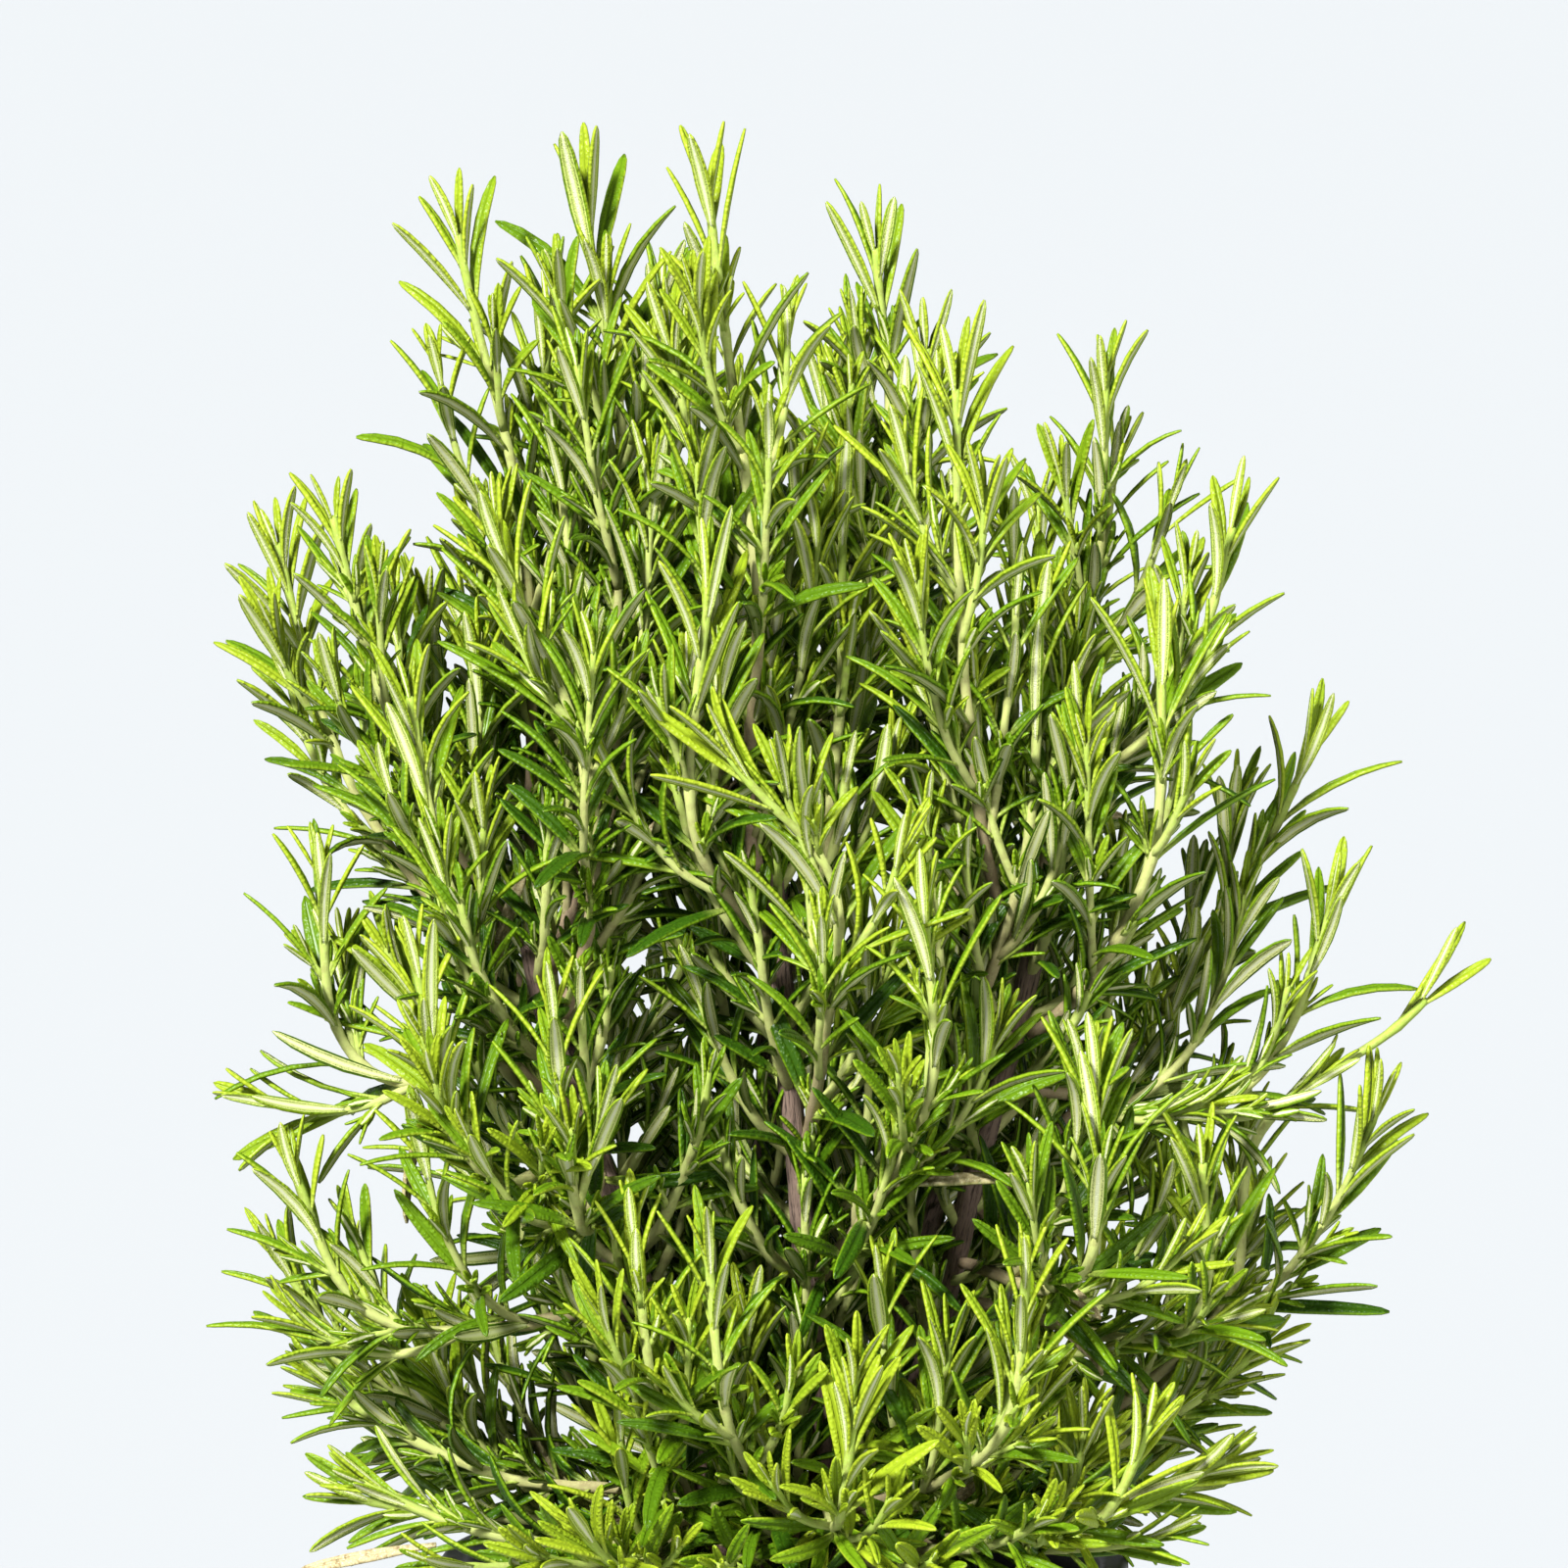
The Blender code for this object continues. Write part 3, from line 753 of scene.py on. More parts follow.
@dataclass
class Stems:
    """The stems of one piece, as tubes with a softly square section and a knuckle at each pair of leaves."""

    sides: int = 8
    ring_step: float = 2.4
    squareness: float = 0.07
    knuckle: float = 0.22
    runs: list[tuple[Strand, list[float], float, float]] = field(default_factory=list)

    def add(self, strand: Strand, joints: list[float], age_foot: float, age_tip: float) -> None:
        """Adds a stem with its leaf joints' distances and the ages of its ends."""
        self.runs.append((strand, joints, age_foot, age_tip))

    def build(self, name: str, material: bpy.types.Material) -> bpy.types.Object:
        """All the stems as one object.

        Args:
            name: the piece's name.
            material: the stem material.

        Returns:
            The object.
        """
        skin = Skin()
        columns, rows = cells(len(self.runs), 0.25)
        for number, (strand, joints, age_foot, age_tip) in enumerate(self.runs):
            count = max(4, round(strand.length / self.ring_step) + 1)
            distances = np.linspace(0, strand.length, count)
            side = Vector((1, 0.3, 0))
            rings, spine = [], []
            for distance in distances:
                along = strand.along(distance)
                side = (side - along * side.dot(along)).normalized()
                other = along.cross(side)
                near = min((abs(distance - j) for j in joints), default=9.0)
                radius = strand.radius(distance) * (1 + self.knuckle * math.exp(-((near / 1.6) ** 2)))
                turns = [math.tau * k / self.sides for k in range(self.sides)]
                centre = strand.at(distance)
                spine.append(centre)
                rings.append(
                    [
                        tuple(
                            centre
                            + (side * math.cos(t) + other * math.sin(t))
                            * radius
                            * (1 + self.squareness * math.cos(4 * t - math.pi))
                        )
                        for t in turns
                    ]
                )
            points = np.array(rings).reshape(-1, 3)
            end = spine[-1] + strand.along(strand.length) * strand.radii[-1]
            ends = np.array([tuple(spine[0]), tuple(end)])
            points = np.vstack([points, ends])
            quads, uvs = self.faces(count, columns, rows, number)
            around = np.tile(np.arange(self.sides) / self.sides * math.tau * strand.radii[0], count)
            length = np.repeat(distances, self.sides)
            grain = np.stack([around, length, np.full(len(length), number * 13.7)], axis=1)
            grain = np.vstack([grain, grain[:1], grain[-1:]])
            share = np.append(np.repeat(distances / strand.length, self.sides), [0, 1])
            skin.add(points, quads, uvs, grain, age=age_foot + (age_tip - age_foot) * share)
        return skin.build(name, material)

    def faces(self, count: int, columns: int, rows: int, number: int) -> tuple[np.ndarray, np.ndarray]:
        """The faces of one closed tube and their places in the texture square.

        Args:
            count: rings along the tube.
            columns: columns of the texture square's grid.
            rows: rows of that grid.
            number: the tube's own cell of it.

        Returns:
            (m, 4) point numbers, and (m, 4, 2) places in the texture square.
        """
        sides = self.sides
        column, row = number % columns, number // columns
        quads, uvs = [], []
        for j, k in product(range(count - 1), range(sides)):
            after = (k + 1) % sides
            quads.append((j * sides + k, j * sides + after, (j + 1) * sides + after, (j + 1) * sides + k))
            low, high = 0.06 + 0.88 * j / (count - 1), 0.06 + 0.88 * (j + 1) / (count - 1)
            left, right = 0.05 + 0.9 * k / sides, 0.05 + 0.9 * (k + 1) / sides
            uvs.append(((low, left), (low, right), (high, right), (high, left)))
        for k in range(0, sides, 2):
            a, b, c = k, (k + 1) % sides, (k + 2) % sides
            last = (count - 1) * sides
            strip = 0.9 * k / sides
            box = ((0.01, strip), (0.01, strip + 0.1), (0.045, strip + 0.1), (0.045, strip))
            quads.append((count * sides, c, b, a))
            uvs.append(box)
            quads.append((count * sides + 1, last + a, last + b, last + c))
            uvs.append(tuple((u + 0.945, v) for u, v in box))
        scale = np.array([columns, rows])
        return np.array(quads), (np.array(uvs) + np.array([column, row])) / scale


@dataclass
class Habit:
    """How a rosemary sprig is clothed: spacing, lengths and angles of its leaves by distance from the tip."""

    full_length: float = 26
    young_reach: float = 9
    tight: float = 3.8
    widening: float = 0.22
    loose: float = 9.5
    spread: float = 34
    upright: float = 9
    spread_reach: float = 50
    bend: float = 0.62
    bend_reach: float = 16
    tuft_from: float = 16
    tuft_share: float = 0.55
    age_reach: float = 80
    dry_share: float = 0.05
    gap_from: float = 0.0
    gap_to: float = 0.0
    first_pair: float = 0.8
    pair_play: tuple = (0.85, 1.15)
    turn_play: float = 0.2
    least_angle: float = 4
    angle_play: float = 6
    most_sag: float = 0.1
    sag_reach: float = 90
    length_play: tuple = (0.78, 1.14)
    age_play: float = 0.05
    dry_from: float = 50
    dryness: tuple = (0.6, 1.0)
    seat: float = 0.55
    slimmest: float = 0.5
    width_rate: float = 0.044
    widest: float = 2.3
    width_play: tuple = (0.8, 1.22)
    least_curl: float = 0.12
    curl_play: tuple = (0.1, 1.6)
    sway_play: float = 0.07
    twist_play: float = 0.3

    def spacing(self, below: float) -> float:
        """Distance to the next pair of leaves, this far below the tip."""
        return min(self.loose, self.tight + self.widening * below)

    def leaf_length(self, below: float) -> float:
        """Length of a leaf, this far below the tip."""
        grown = self.full_length * (1 - math.exp(-(below + 4) / self.young_reach))
        return grown * (1 - 0.25 * min(1, max(0, below - 60) / 80))

    def angle(self, below: float) -> float:
        """Degrees between a leaf and its stem, this far below the tip."""
        return self.upright + self.spread * (1 - math.exp(-below / self.spread_reach))


@dataclass
class Sprig:
    """A stem clothed with leaves, with tufts in their axils and side branches."""

    strand: Strand
    habit: Habit
    vigour: float
    chance: random.Random
    room: "Room"

    def clothe(
        self, leaves: Leaves, stems: Stems, bare: float = 0.0, roll: float = 0.0, tufts: bool = True
    ) -> None:
        """Grows the leaves, tufts and stem of this sprig.

        Args:
            leaves: gathers its leaves.
            stems: gathers its stems.
            bare: length without leaves at its foot.
            roll: turn of its first pair about the stem, in radians.
            tufts: True where small tufts stand in the axils.
        """
        strand, chance = self.strand, self.chance
        below, number, joints = self.habit.first_pair, 0, []
        while below < strand.length - bare:
            if self.habit.gap_from < below < self.habit.gap_to:
                below = self.habit.gap_to
            distance = strand.length - below
            joints.append(distance)
            along = strand.along(distance)
            across = along.cross(SIDELONG).normalized()
            other = along.cross(across)
            play = chance.uniform(-self.habit.turn_play, self.habit.turn_play)
            turn = roll + number * math.pi / 2 + play
            for facing in (0, math.pi):
                outward = across * math.cos(turn + facing) + other * math.sin(turn + facing)
                self.grow_leaf(leaves, distance, below, along, outward)
                if tufts and below > self.habit.tuft_from and chance.random() < self.habit.tuft_share:
                    self.grow_tuft(leaves, stems, distance, below, along, outward)
            below += self.habit.spacing(below) * chance.uniform(*self.habit.pair_play)
            number += 1
        foot_age = min(1, strand.length / 110) + self.vigour * 0.5
        stems.add(strand, joints, foot_age, max(0, self.vigour * 0.3))

    def grow_leaf(
        self, leaves: Leaves, distance: float, below: float, along: Vector, outward: Vector
    ) -> None:
        """Adds one leaf of a pair, if there is room for it.

        Args:
            leaves: gathers the leaf.
            distance: how far up the stem its joint is.
            below: how far that is below the tip.
            along: the stem's direction there.
            outward: the side that the leaf stands on.
        """
        chance, habit = self.chance, self.habit
        angle = habit.angle(below) + chance.gauss(0, habit.angle_play)
        angle = math.radians(max(habit.least_angle, angle))
        pointing = along * math.cos(angle) + outward * math.sin(angle)
        sag = habit.most_sag * min(1, below / habit.sag_reach) * chance.random()
        pointing = (pointing - UP * sag).normalized()
        top = (along - pointing * along.dot(pointing)).normalized()
        length = habit.leaf_length(below) * chance.uniform(*habit.length_play)
        age = below / habit.age_reach + self.vigour + chance.gauss(0, habit.age_play)
        withers = below > habit.dry_from and chance.random() < habit.dry_share
        dry = chance.uniform(*habit.dryness) if withers else 0.0
        half_width = min(habit.widest, habit.slimmest + length * habit.width_rate)
        opened = 1 - math.exp(-below / habit.bend_reach)
        leaf = Leaf(
            foot=self.strand.at(distance) + outward * self.strand.radius(distance) * habit.seat,
            along=pointing,
            top=top,
            length=length,
            half_width=half_width * chance.uniform(*habit.width_play),
            curl=habit.least_curl + habit.bend * opened * chance.uniform(*habit.curl_play),
            sway=chance.gauss(0, habit.sway_play),
            twist=chance.gauss(0, habit.twist_play),
            age=min(1, max(0, age)),
            tint=chance.random(),
            dry=dry,
        )
        if self.room.holds(leaf):
            leaves.leaves.append(leaf)

    def grow_tuft(
        self, leaves: Leaves, stems: Stems, distance: float, below: float, along: Vector, outward: Vector
    ) -> None:
        """Adds a small tuft of young leaves in a leaf's axil.

        Args:
            leaves: gathers its leaves.
            stems: gathers its stem.
            distance: how far up the stem its joint is.
            below: how far that is below the tip.
            along: the stem's direction there.
            outward: the side that the tuft stands on.
        """
        chance = self.chance
        size = chance.uniform(2.5, 5 + min(15, below * 0.11))
        angle = math.radians(chance.uniform(18, 38))
        heading = along * math.cos(angle) + outward * math.sin(angle)
        foot = self.strand.at(distance + 0.8) + outward * self.strand.radius(distance) * 0.5
        curve = grow_curve(foot, heading, size, 0.05, chance)
        twig = Strand("tuft", curve, Skeleton.taper(len(curve), 0.62, 0.4))
        habit = Habit(
            full_length=chance.uniform(9, 15), young_reach=7, tight=2.3, loose=5.2, upright=10, spread=36,
            spread_reach=14, age_reach=60,
        )
        vigour = self.vigour + 0.1 + 0.002 * below
        Sprig(twig, habit, vigour, chance, self.room).clothe(leaves, stems, tufts=False)


def grow_curve(
    foot: Vector, heading: Vector, length: float, rise: float, chance: random.Random
) -> list[Vector]:
    """A twig's curve that turns slowly upwards.

    Args:
        foot: where it starts.
        heading: the direction it starts in.
        length: how long it is.
        rise: how strongly it turns up, for each step.
        chance: the source of its wander.

    Returns:
        Points along it.
    """
    count = max(3, round(length / CURVE_STEP))
    points, at = [foot], foot
    for _ in range(count):
        wander = Vector((chance.gauss(0, 1), chance.gauss(0, 1), chance.gauss(0, 1))) * WANDER
        heading = (heading + UP * rise + wander).normalized()
        at = at + heading * (length / count)
        points.append(at)
    return points


@dataclass
class Room:
    """The space the foliage may fill: inside the solids' box, and clear of the pot's wall."""

    low: Vector
    high: Vector
    pot: PotSizes = field(default_factory=PotSizes)
    beyond: float = 9
    over_soil: float = 3
    over_rim: float = 3
    round_rim: float = 3
    within_rim: float = 6
    soil_depth: float = 10
    lowest_foot: float = 9

    def holds(self, leaf: Leaf) -> bool:
        """True if a leaf's middle and tip both have room.

        Args:
            leaf: the leaf to try.

        Returns:
            True if it may grow.
        """
        reach = leaf.along * leaf.length - leaf.top * leaf.curl * leaf.length * 0.5
        for share in (0.5, 1.0):
            spot = leaf.foot + reach * share
            if any(not self.low[k] - self.beyond <= spot[k] <= self.high[k] + self.beyond for k in range(3)):
                return False
            out = math.hypot(spot.x, spot.y)
            inner, outer = self.pot.top_radius - self.within_rim, self.pot.rim_radius + self.round_rim
            if spot.z < self.pot.height + self.over_rim and inner < out < outer:
                return False
            if out <= inner and spot.z < self.pot.height - self.soil_depth + self.over_soil:
                return False
        return leaf.foot.z > self.pot.height - self.lowest_foot


# ---------------------------------------------------------------- materials


class Graph:
    """Places nodes in a tree and links them."""

    def __init__(self, tree: bpy.types.NodeTree) -> None:
        """Keeps the tree."""
        self.tree = tree

    def node(self, kind: str, **settings) -> bpy.types.Node:
        """A new node with its settings; inputs are given by name in a dictionary called values.

        Args:
            kind: the node's type.
            settings: its properties by name.

        Returns:
            The node.
        """
        made = self.tree.nodes.new(kind)
        values = settings.pop("values", {})
        for key, value in settings.items():
            setattr(made, key, value)
        for key, value in values.items():
            self.feed(made.inputs[key], value)
        return made

    def feed(self, socket: Socket, value: object) -> None:
        """Links a socket, or sets a constant on one.

        Args:
            socket: the input.
            value: a socket, a number, or a colour or vector.
        """
        if isinstance(value, bpy.types.NodeSocket):
            self.tree.links.new(value, socket)
        elif isinstance(value, tuple) and len(value) == 3 and socket.type == "RGBA":
            socket.default_value = (*value, 1)
        else:
            socket.default_value = value

    def attribute(self, name: str, output: str = "Fac") -> Socket:
        """A mesh attribute."""
        return self.node("ShaderNodeAttribute", attribute_name=name).outputs[output]

    def math(self, operation: str, *values: object, clamp: bool = False) -> Socket:
        """A math node's result.

        Args:
            operation: the node's operation.
            values: its inputs in order.
            clamp: True to keep the result between 0 and 1.

        Returns:
            The result's socket.
        """
        made = self.node("ShaderNodeMath", operation=operation, use_clamp=clamp)
        for socket, value in zip(made.inputs, values):
            self.feed(socket, value)
        return made.outputs[0]

    def band(self, value: object, low: float, high: float) -> Socket:
        """0 below low, 1 above high, smooth between.

        Args:
            value: the number to look at.
            low: where the band starts.
            high: where it ends.

        Returns:
            The result's socket.
        """
        made = self.node("ShaderNodeMapRange", interpolation_type="SMOOTHSTEP")
        self.feed(made.inputs["Value"], value)
        self.feed(made.inputs["From Min"], low)
        self.feed(made.inputs["From Max"], high)
        return made.outputs["Result"]

    def mix(self, share: object, first: object, second: object, blend: str = "MIX") -> Socket:
        """A mix of two colours.

        Args:
            share: how much of the second colour.
            first: a colour.
            second: a colour.
            blend: the way they mix.

        Returns:
            The colour's socket.
        """
        made = self.node("ShaderNodeMix", data_type="RGBA", blend_type=blend)
        self.feed(made.inputs[0], share)
        self.feed(made.inputs[6], first)
        self.feed(made.inputs[7], second)
        return made.outputs[2]

    def noise(self, vector: Socket, scale: float, detail: float = 3, roughness: float = 0.55) -> Socket:
        """A noise pattern's value.

        Args:
            vector: where to read it.
            scale: its fineness.
            detail: its finer layers.
            roughness: the weight of those.

        Returns:
            The value's socket.
        """
        made = self.node("ShaderNodeTexNoise")
        inputs = {"Vector": vector, "Scale": scale, "Detail": detail, "Roughness": roughness}
        for key, value in inputs.items():
            self.feed(made.inputs[key], value)
        return made.outputs["Fac"]

    def stretched(self, vector: Socket, scale: tuple[float, float, float]) -> Socket:
        """A vector with each direction scaled.

        Args:
            vector: the vector.
            scale: a factor for each direction.

        Returns:
            The scaled vector's socket.
        """
        made = self.node("ShaderNodeVectorMath", operation="MULTIPLY")
        self.feed(made.inputs[0], vector)
        made.inputs[1].default_value = scale
        return made.outputs[0]


class Effect:
    """A node group with named inputs and outputs, built once and used by several materials."""

    name = "effect"
    takes: tuple = ()
    gives: tuple = ()

    def group(self) -> bpy.types.NodeTree:
        """The group, made the first time it is asked for.

        Returns:
            The node tree of the group.
        """
        made = bpy.data.node_groups.get(self.name)
        if made is None:
            made = bpy.data.node_groups.new(self.name, "ShaderNodeTree")
            for label, kind, value in self.takes:
                socket = made.interface.new_socket(name=label, in_out="INPUT", socket_type=kind)
                if value is not None:
                    socket.default_value = value
            for label, kind in self.gives:
                made.interface.new_socket(name=label, in_out="OUTPUT", socket_type=kind)
            graph = Graph(made)
            self.fill(graph, graph.node("NodeGroupInput").outputs, graph.node("NodeGroupOutput").inputs)
        return made

    def fill(self, graph: Graph, given: bpy.types.NodeOutputs, out: bpy.types.NodeInputs) -> None:
        """Builds the inside of the group."""
        raise NotImplementedError

    def use(self, graph: Graph, **values) -> bpy.types.NodeOutputs:
        """Places the group in a material with its own values, and returns its outputs.

        Args:
            graph: the material's graph.
            values: the group's inputs by name.

        Returns:
            The group node's outputs.
        """
        made = graph.node("ShaderNodeGroup", node_tree=self.group())
        for key, value in values.items():
            graph.feed(made.inputs[key.replace("_", " ")], value)
        return made.outputs


class Mottle(Effect):
    """Uneven colour: a base colour pushed towards a darker and a lighter one by two sizes of noise."""

    name = "Mottle"
    takes = (
        ("Vector", "NodeSocketVector", None),
        ("Scale", "NodeSocketFloat", 1.0),
        ("Base", "NodeSocketColor", None),
        ("Dark", "NodeSocketColor", None),
        ("Light", "NodeSocketColor", None),
        ("Amount", "NodeSocketFloat", 0.5),
    )
    gives = (("Color", "NodeSocketColor"), ("Height", "NodeSocketFloat"))

    def fill(self, graph: Graph, given: bpy.types.NodeOutputs, out: bpy.types.NodeInputs) -> None:
        """Two sizes of noise, one for each colour.

        Args:
            graph: the group's graph.
            given: its inputs.
            out: its outputs.
        """
        coarse = graph.noise(given["Vector"], given["Scale"])
        fine = graph.noise(given["Vector"], graph.math("MULTIPLY", given["Scale"], 4.3), 4)
        dark = graph.math("MULTIPLY", graph.band(coarse, 0.45, 0.7), given["Amount"])
        light = graph.math("MULTIPLY", graph.band(fine, 0.5, 0.75), given["Amount"])
        colour = graph.mix(dark, given["Base"], given["Dark"])
        graph.feed(out["Color"], graph.mix(light, colour, given["Light"]))
        height = graph.math("ADD", graph.math("MULTIPLY", coarse, 0.6), graph.math("MULTIPLY", fine, 0.4))
        graph.feed(out["Height"], height)


class AgeRamp(Effect):
    """Colour by age: young, grown and old, smoothly mixed, and shifted a little for each leaf or stem."""

    name = "Age ramp"
    takes = (
        ("Age", "NodeSocketFloat", 0.5),
        ("Tint", "NodeSocketFloat", 0.5),
        ("Young", "NodeSocketColor", None),
        ("Grown", "NodeSocketColor", None),
        ("Old", "NodeSocketColor", None),
    )
    gives = (("Color", "NodeSocketColor"),)

    def fill(self, graph: Graph, given: bpy.types.NodeOutputs, out: bpy.types.NodeInputs) -> None:
        """Young to grown in the first part of life, grown to old in the rest.

        Args:
            graph: the group's graph.
            given: its inputs.
            out: its outputs.
        """
        shift = graph.math("MULTIPLY", graph.math("SUBTRACT", given["Tint"], 0.5), 0.22)
        age = graph.math("ADD", given["Age"], shift)
        colour = graph.mix(graph.band(age, 0.0, 0.32), given["Young"], given["Grown"])
        colour = graph.mix(graph.band(age, 0.28, 0.85), colour, given["Old"])
        graph.feed(out["Color"], colour)


@dataclass(frozen=True)
class Finish:
    """What every finish has: a name, and a Principled surface."""

    name: str

    def start(self) -> tuple[bpy.types.Material, Graph, bpy.types.Node]:
        """A new node material, its graph and its shader.

        Returns:
            The three of them.
        """
        made = bpy.data.materials.new(self.name)
        made.use_nodes = True
        return made, Graph(made.node_tree), made.node_tree.nodes["Principled BSDF"]

    @staticmethod
    def bump(
        graph: Graph, shader: bpy.types.Node, height: Socket, distance: float, strength: float = 1.0
    ) -> None:
        """Feeds a height to the shader's normal; distance is in millimetres.

        Args:
            graph: the material's graph.
            shader: its Principled shader.
            height: the height's socket.
            distance: how deep it is, in millimetres.
            strength: how strongly it shows.
        """
        values = {"Height": height, "Strength": strength, "Distance": distance * MM}
        made = graph.node("ShaderNodeBump", values=values)
        graph.feed(shader.inputs["Normal"], made.outputs["Normal"])


@dataclass(frozen=True)
class LeafFinish(Finish):
    """Glossy pebbled tops, pale lips and felted undersides, with painted shade along the top's groove, in the
    underside's channels and on the felt of old leaves.
    """

    young: Point = (0.225, 0.300, 0.012)
    grown: Point = (0.092, 0.178, 0.004)
    old: Point = (0.020, 0.058, 0.002)
    lip: Point = (0.280, 0.350, 0.020)
    lip_old: Point = (0.120, 0.215, 0.006)
    foot: Point = (0.340, 0.410, 0.080)
    felt: Point = (0.590, 0.620, 0.230)
    felt_young: Point = (0.460, 0.560, 0.120)
    # Painted shade: the felt of old leaves, which sit deep in the bush, is darkened for the shade there.
    felt_old_shade: Point = (0.270, 0.340, 0.080)
    # Dark stippled lines of the underside: partly its own dotting, partly painted shade in the channels.
    stipple_and_shade: Point = (0.080, 0.115, 0.020)
    rib: Point = (0.650, 0.670, 0.430)
    dried: Point = (0.130, 0.080, 0.030)
    dried_pale: Point = (0.420, 0.330, 0.180)
    pebble: float = 0.62
    relief: float = 0.34
    gloss: float = 0.26
    shine: float = 0.15
    # Where the painted shade of the top's groove fades out, going across the leaf.
    groove_shade_band: tuple = (0.04, 0.2)
    lip_band: tuple = (0.80, 0.98)
    foot_band: tuple = (0.03, 0.30)
    channel: float = 0.47
    channel_band: tuple = (0.04, 0.14)
    rib_band: tuple = (0.10, 0.30)

    def build(self) -> bpy.types.Material:
        """The material.

        Returns:
            The material, ready to put on a mesh.
        """
        made, graph, shader = self.start()
        age, tint, dry = (graph.attribute(name) for name in ("age", "tint", "dry"))
        across, under, along = (graph.attribute(name) for name in ("across", "under", "along"))
        grain = graph.attribute("grain", "Vector")
        out = graph.math("ABSOLUTE", across)
        top = AgeRamp().use(
            graph, Age=age, Tint=tint, Young=self.young, Grown=self.grown, Old=self.old
        )["Color"]
        speck = graph.noise(grain, 1.6, 3)
        edge = graph.mix(graph.band(age, 0.1, 0.6), self.lip, self.lip_old)
        top = graph.mix(graph.math("MULTIPLY", graph.band(speck, 0.52, 0.74), 0.25), top, edge)
        # Painted shade: the top is darkened halfway to the old colour along the groove down its middle.
        groove = graph.math("MULTIPLY", graph.math("SUBTRACT", 1.0, graph.band(out, *self.groove_shade_band)), 0.45)
        top = graph.mix(groove, top, graph.mix(0.5, top, self.old))
        lip = graph.math("MULTIPLY", graph.band(out, *self.lip_band), 0.85)
        top = graph.mix(lip, top, edge)
        foot = graph.math("SUBTRACT", 1.0, graph.band(along, *self.foot_band))
        foot = graph.math("MULTIPLY", foot, 0.75)
        top = graph.mix(foot, top, self.foot)
        felt = graph.mix(graph.band(age, 0.1, 0.5), self.felt_young, self.felt)
        # Painted shade: the felt of old leaves is darkened to stand for the shade inside the bush.
        felt = graph.mix(graph.band(age, 0.6, 1.0), felt, self.felt_old_shade)
        fuzz = graph.noise(graph.stretched(grain, (3.2, 1.6, 1.0)), 2.2, 2)
        # Stippled lines along the felted channels between the rib and the rolled edge: partly the underside's
        # own dotting, partly painted shade in those channels.
        beside = graph.math("ABSOLUTE", graph.math("SUBTRACT", out, self.channel))
        line = graph.math("SUBTRACT", 1.0, graph.band(beside, *self.channel_band))
        dots = graph.math("MULTIPLY", line, graph.band(fuzz, 0.36, 0.58))
        felt = graph.mix(graph.math("MULTIPLY", dots, 0.8), felt, self.stipple_and_shade)
        rib = graph.math("SUBTRACT", 1.0, graph.band(out, *self.rib_band))
        rib = graph.math("MULTIPLY", rib, graph.math("SUBTRACT", 1.0, graph.band(age, 0.5, 1.1)))
        felt = graph.mix(rib, felt, self.rib)
        colour = graph.mix(graph.band(under, 0.35, 0.65), top, felt)
        husk = Mottle().use(
            graph, Vector=grain, Scale=0.7, Base=self.dried_pale, Dark=self.dried, Light=self.rib, Amount=0.8
        )["Color"]
        colour = graph.mix(dry, colour, husk)
        graph.feed(shader.inputs["Base Color"], colour)
        pebble = graph.node("ShaderNodeTexVoronoi", feature="SMOOTH_F1")
        graph.feed(pebble.inputs["Vector"], graph.stretched(grain, (1.0, 0.85, 1.0)))
        pebble.inputs["Scale"].default_value = 1 / self.pebble
        bead = graph.math("SUBTRACT", 1.0, pebble.outputs["Distance"])
        smooth_side = graph.math("MULTIPLY", graph.math("SUBTRACT", 1.0, under), graph.band(out, 0.1, 0.3))
        beads = graph.math("MULTIPLY", bead, smooth_side)
        height = graph.math("ADD", beads, graph.math("MULTIPLY", fuzz, under))
        self.bump(graph, shader, height, self.relief)
        rough = graph.math("ADD", self.gloss, graph.math("MULTIPLY", speck, 0.18))
        rough = graph.math("ADD", rough, graph.math("MULTIPLY", graph.math("MAXIMUM", under, dry), 0.42))
        graph.feed(shader.inputs["Roughness"], rough)
        shader.inputs["Specular IOR Level"].default_value = self.shine
        return made


@dataclass(frozen=True)
class SoftStemFinish(Finish):
    """Pale green at the tip, cream lower down, and tan to mauve at the foot."""

    young: Point = (0.270, 0.380, 0.050)
    grown: Point = (0.370, 0.410, 0.130)
    old: Point = (0.240, 0.175, 0.110)
    fleck: Point = (0.160, 0.110, 0.050)
    pale: Point = (0.460, 0.480, 0.220)
    roughness: float = 0.62
    shine: float = 0.12

    def build(self) -> bpy.types.Material:
        """The material.

        Returns:
            The material, ready to put on a mesh.
        """
        made, graph, shader = self.start()
        grain = graph.attribute("grain", "Vector")
        streak = graph.noise(graph.stretched(grain, (2.2, 0.35, 1.0)), 1.0, 4)
        colour = AgeRamp().use(
            graph, Age=graph.attribute("age"), Tint=streak, Young=self.young, Grown=self.grown, Old=self.old
        )["Color"]
        colour = Mottle().use(
            graph, Vector=grain, Scale=0.5, Base=colour, Dark=self.fleck, Light=self.pale, Amount=0.35
        )["Color"]
        graph.feed(shader.inputs["Base Color"], colour)
        self.bump(graph, shader, streak, 0.15, 0.7)
        shader.inputs["Roughness"].default_value = self.roughness
        shader.inputs["Specular IOR Level"].default_value = self.shine
        return made


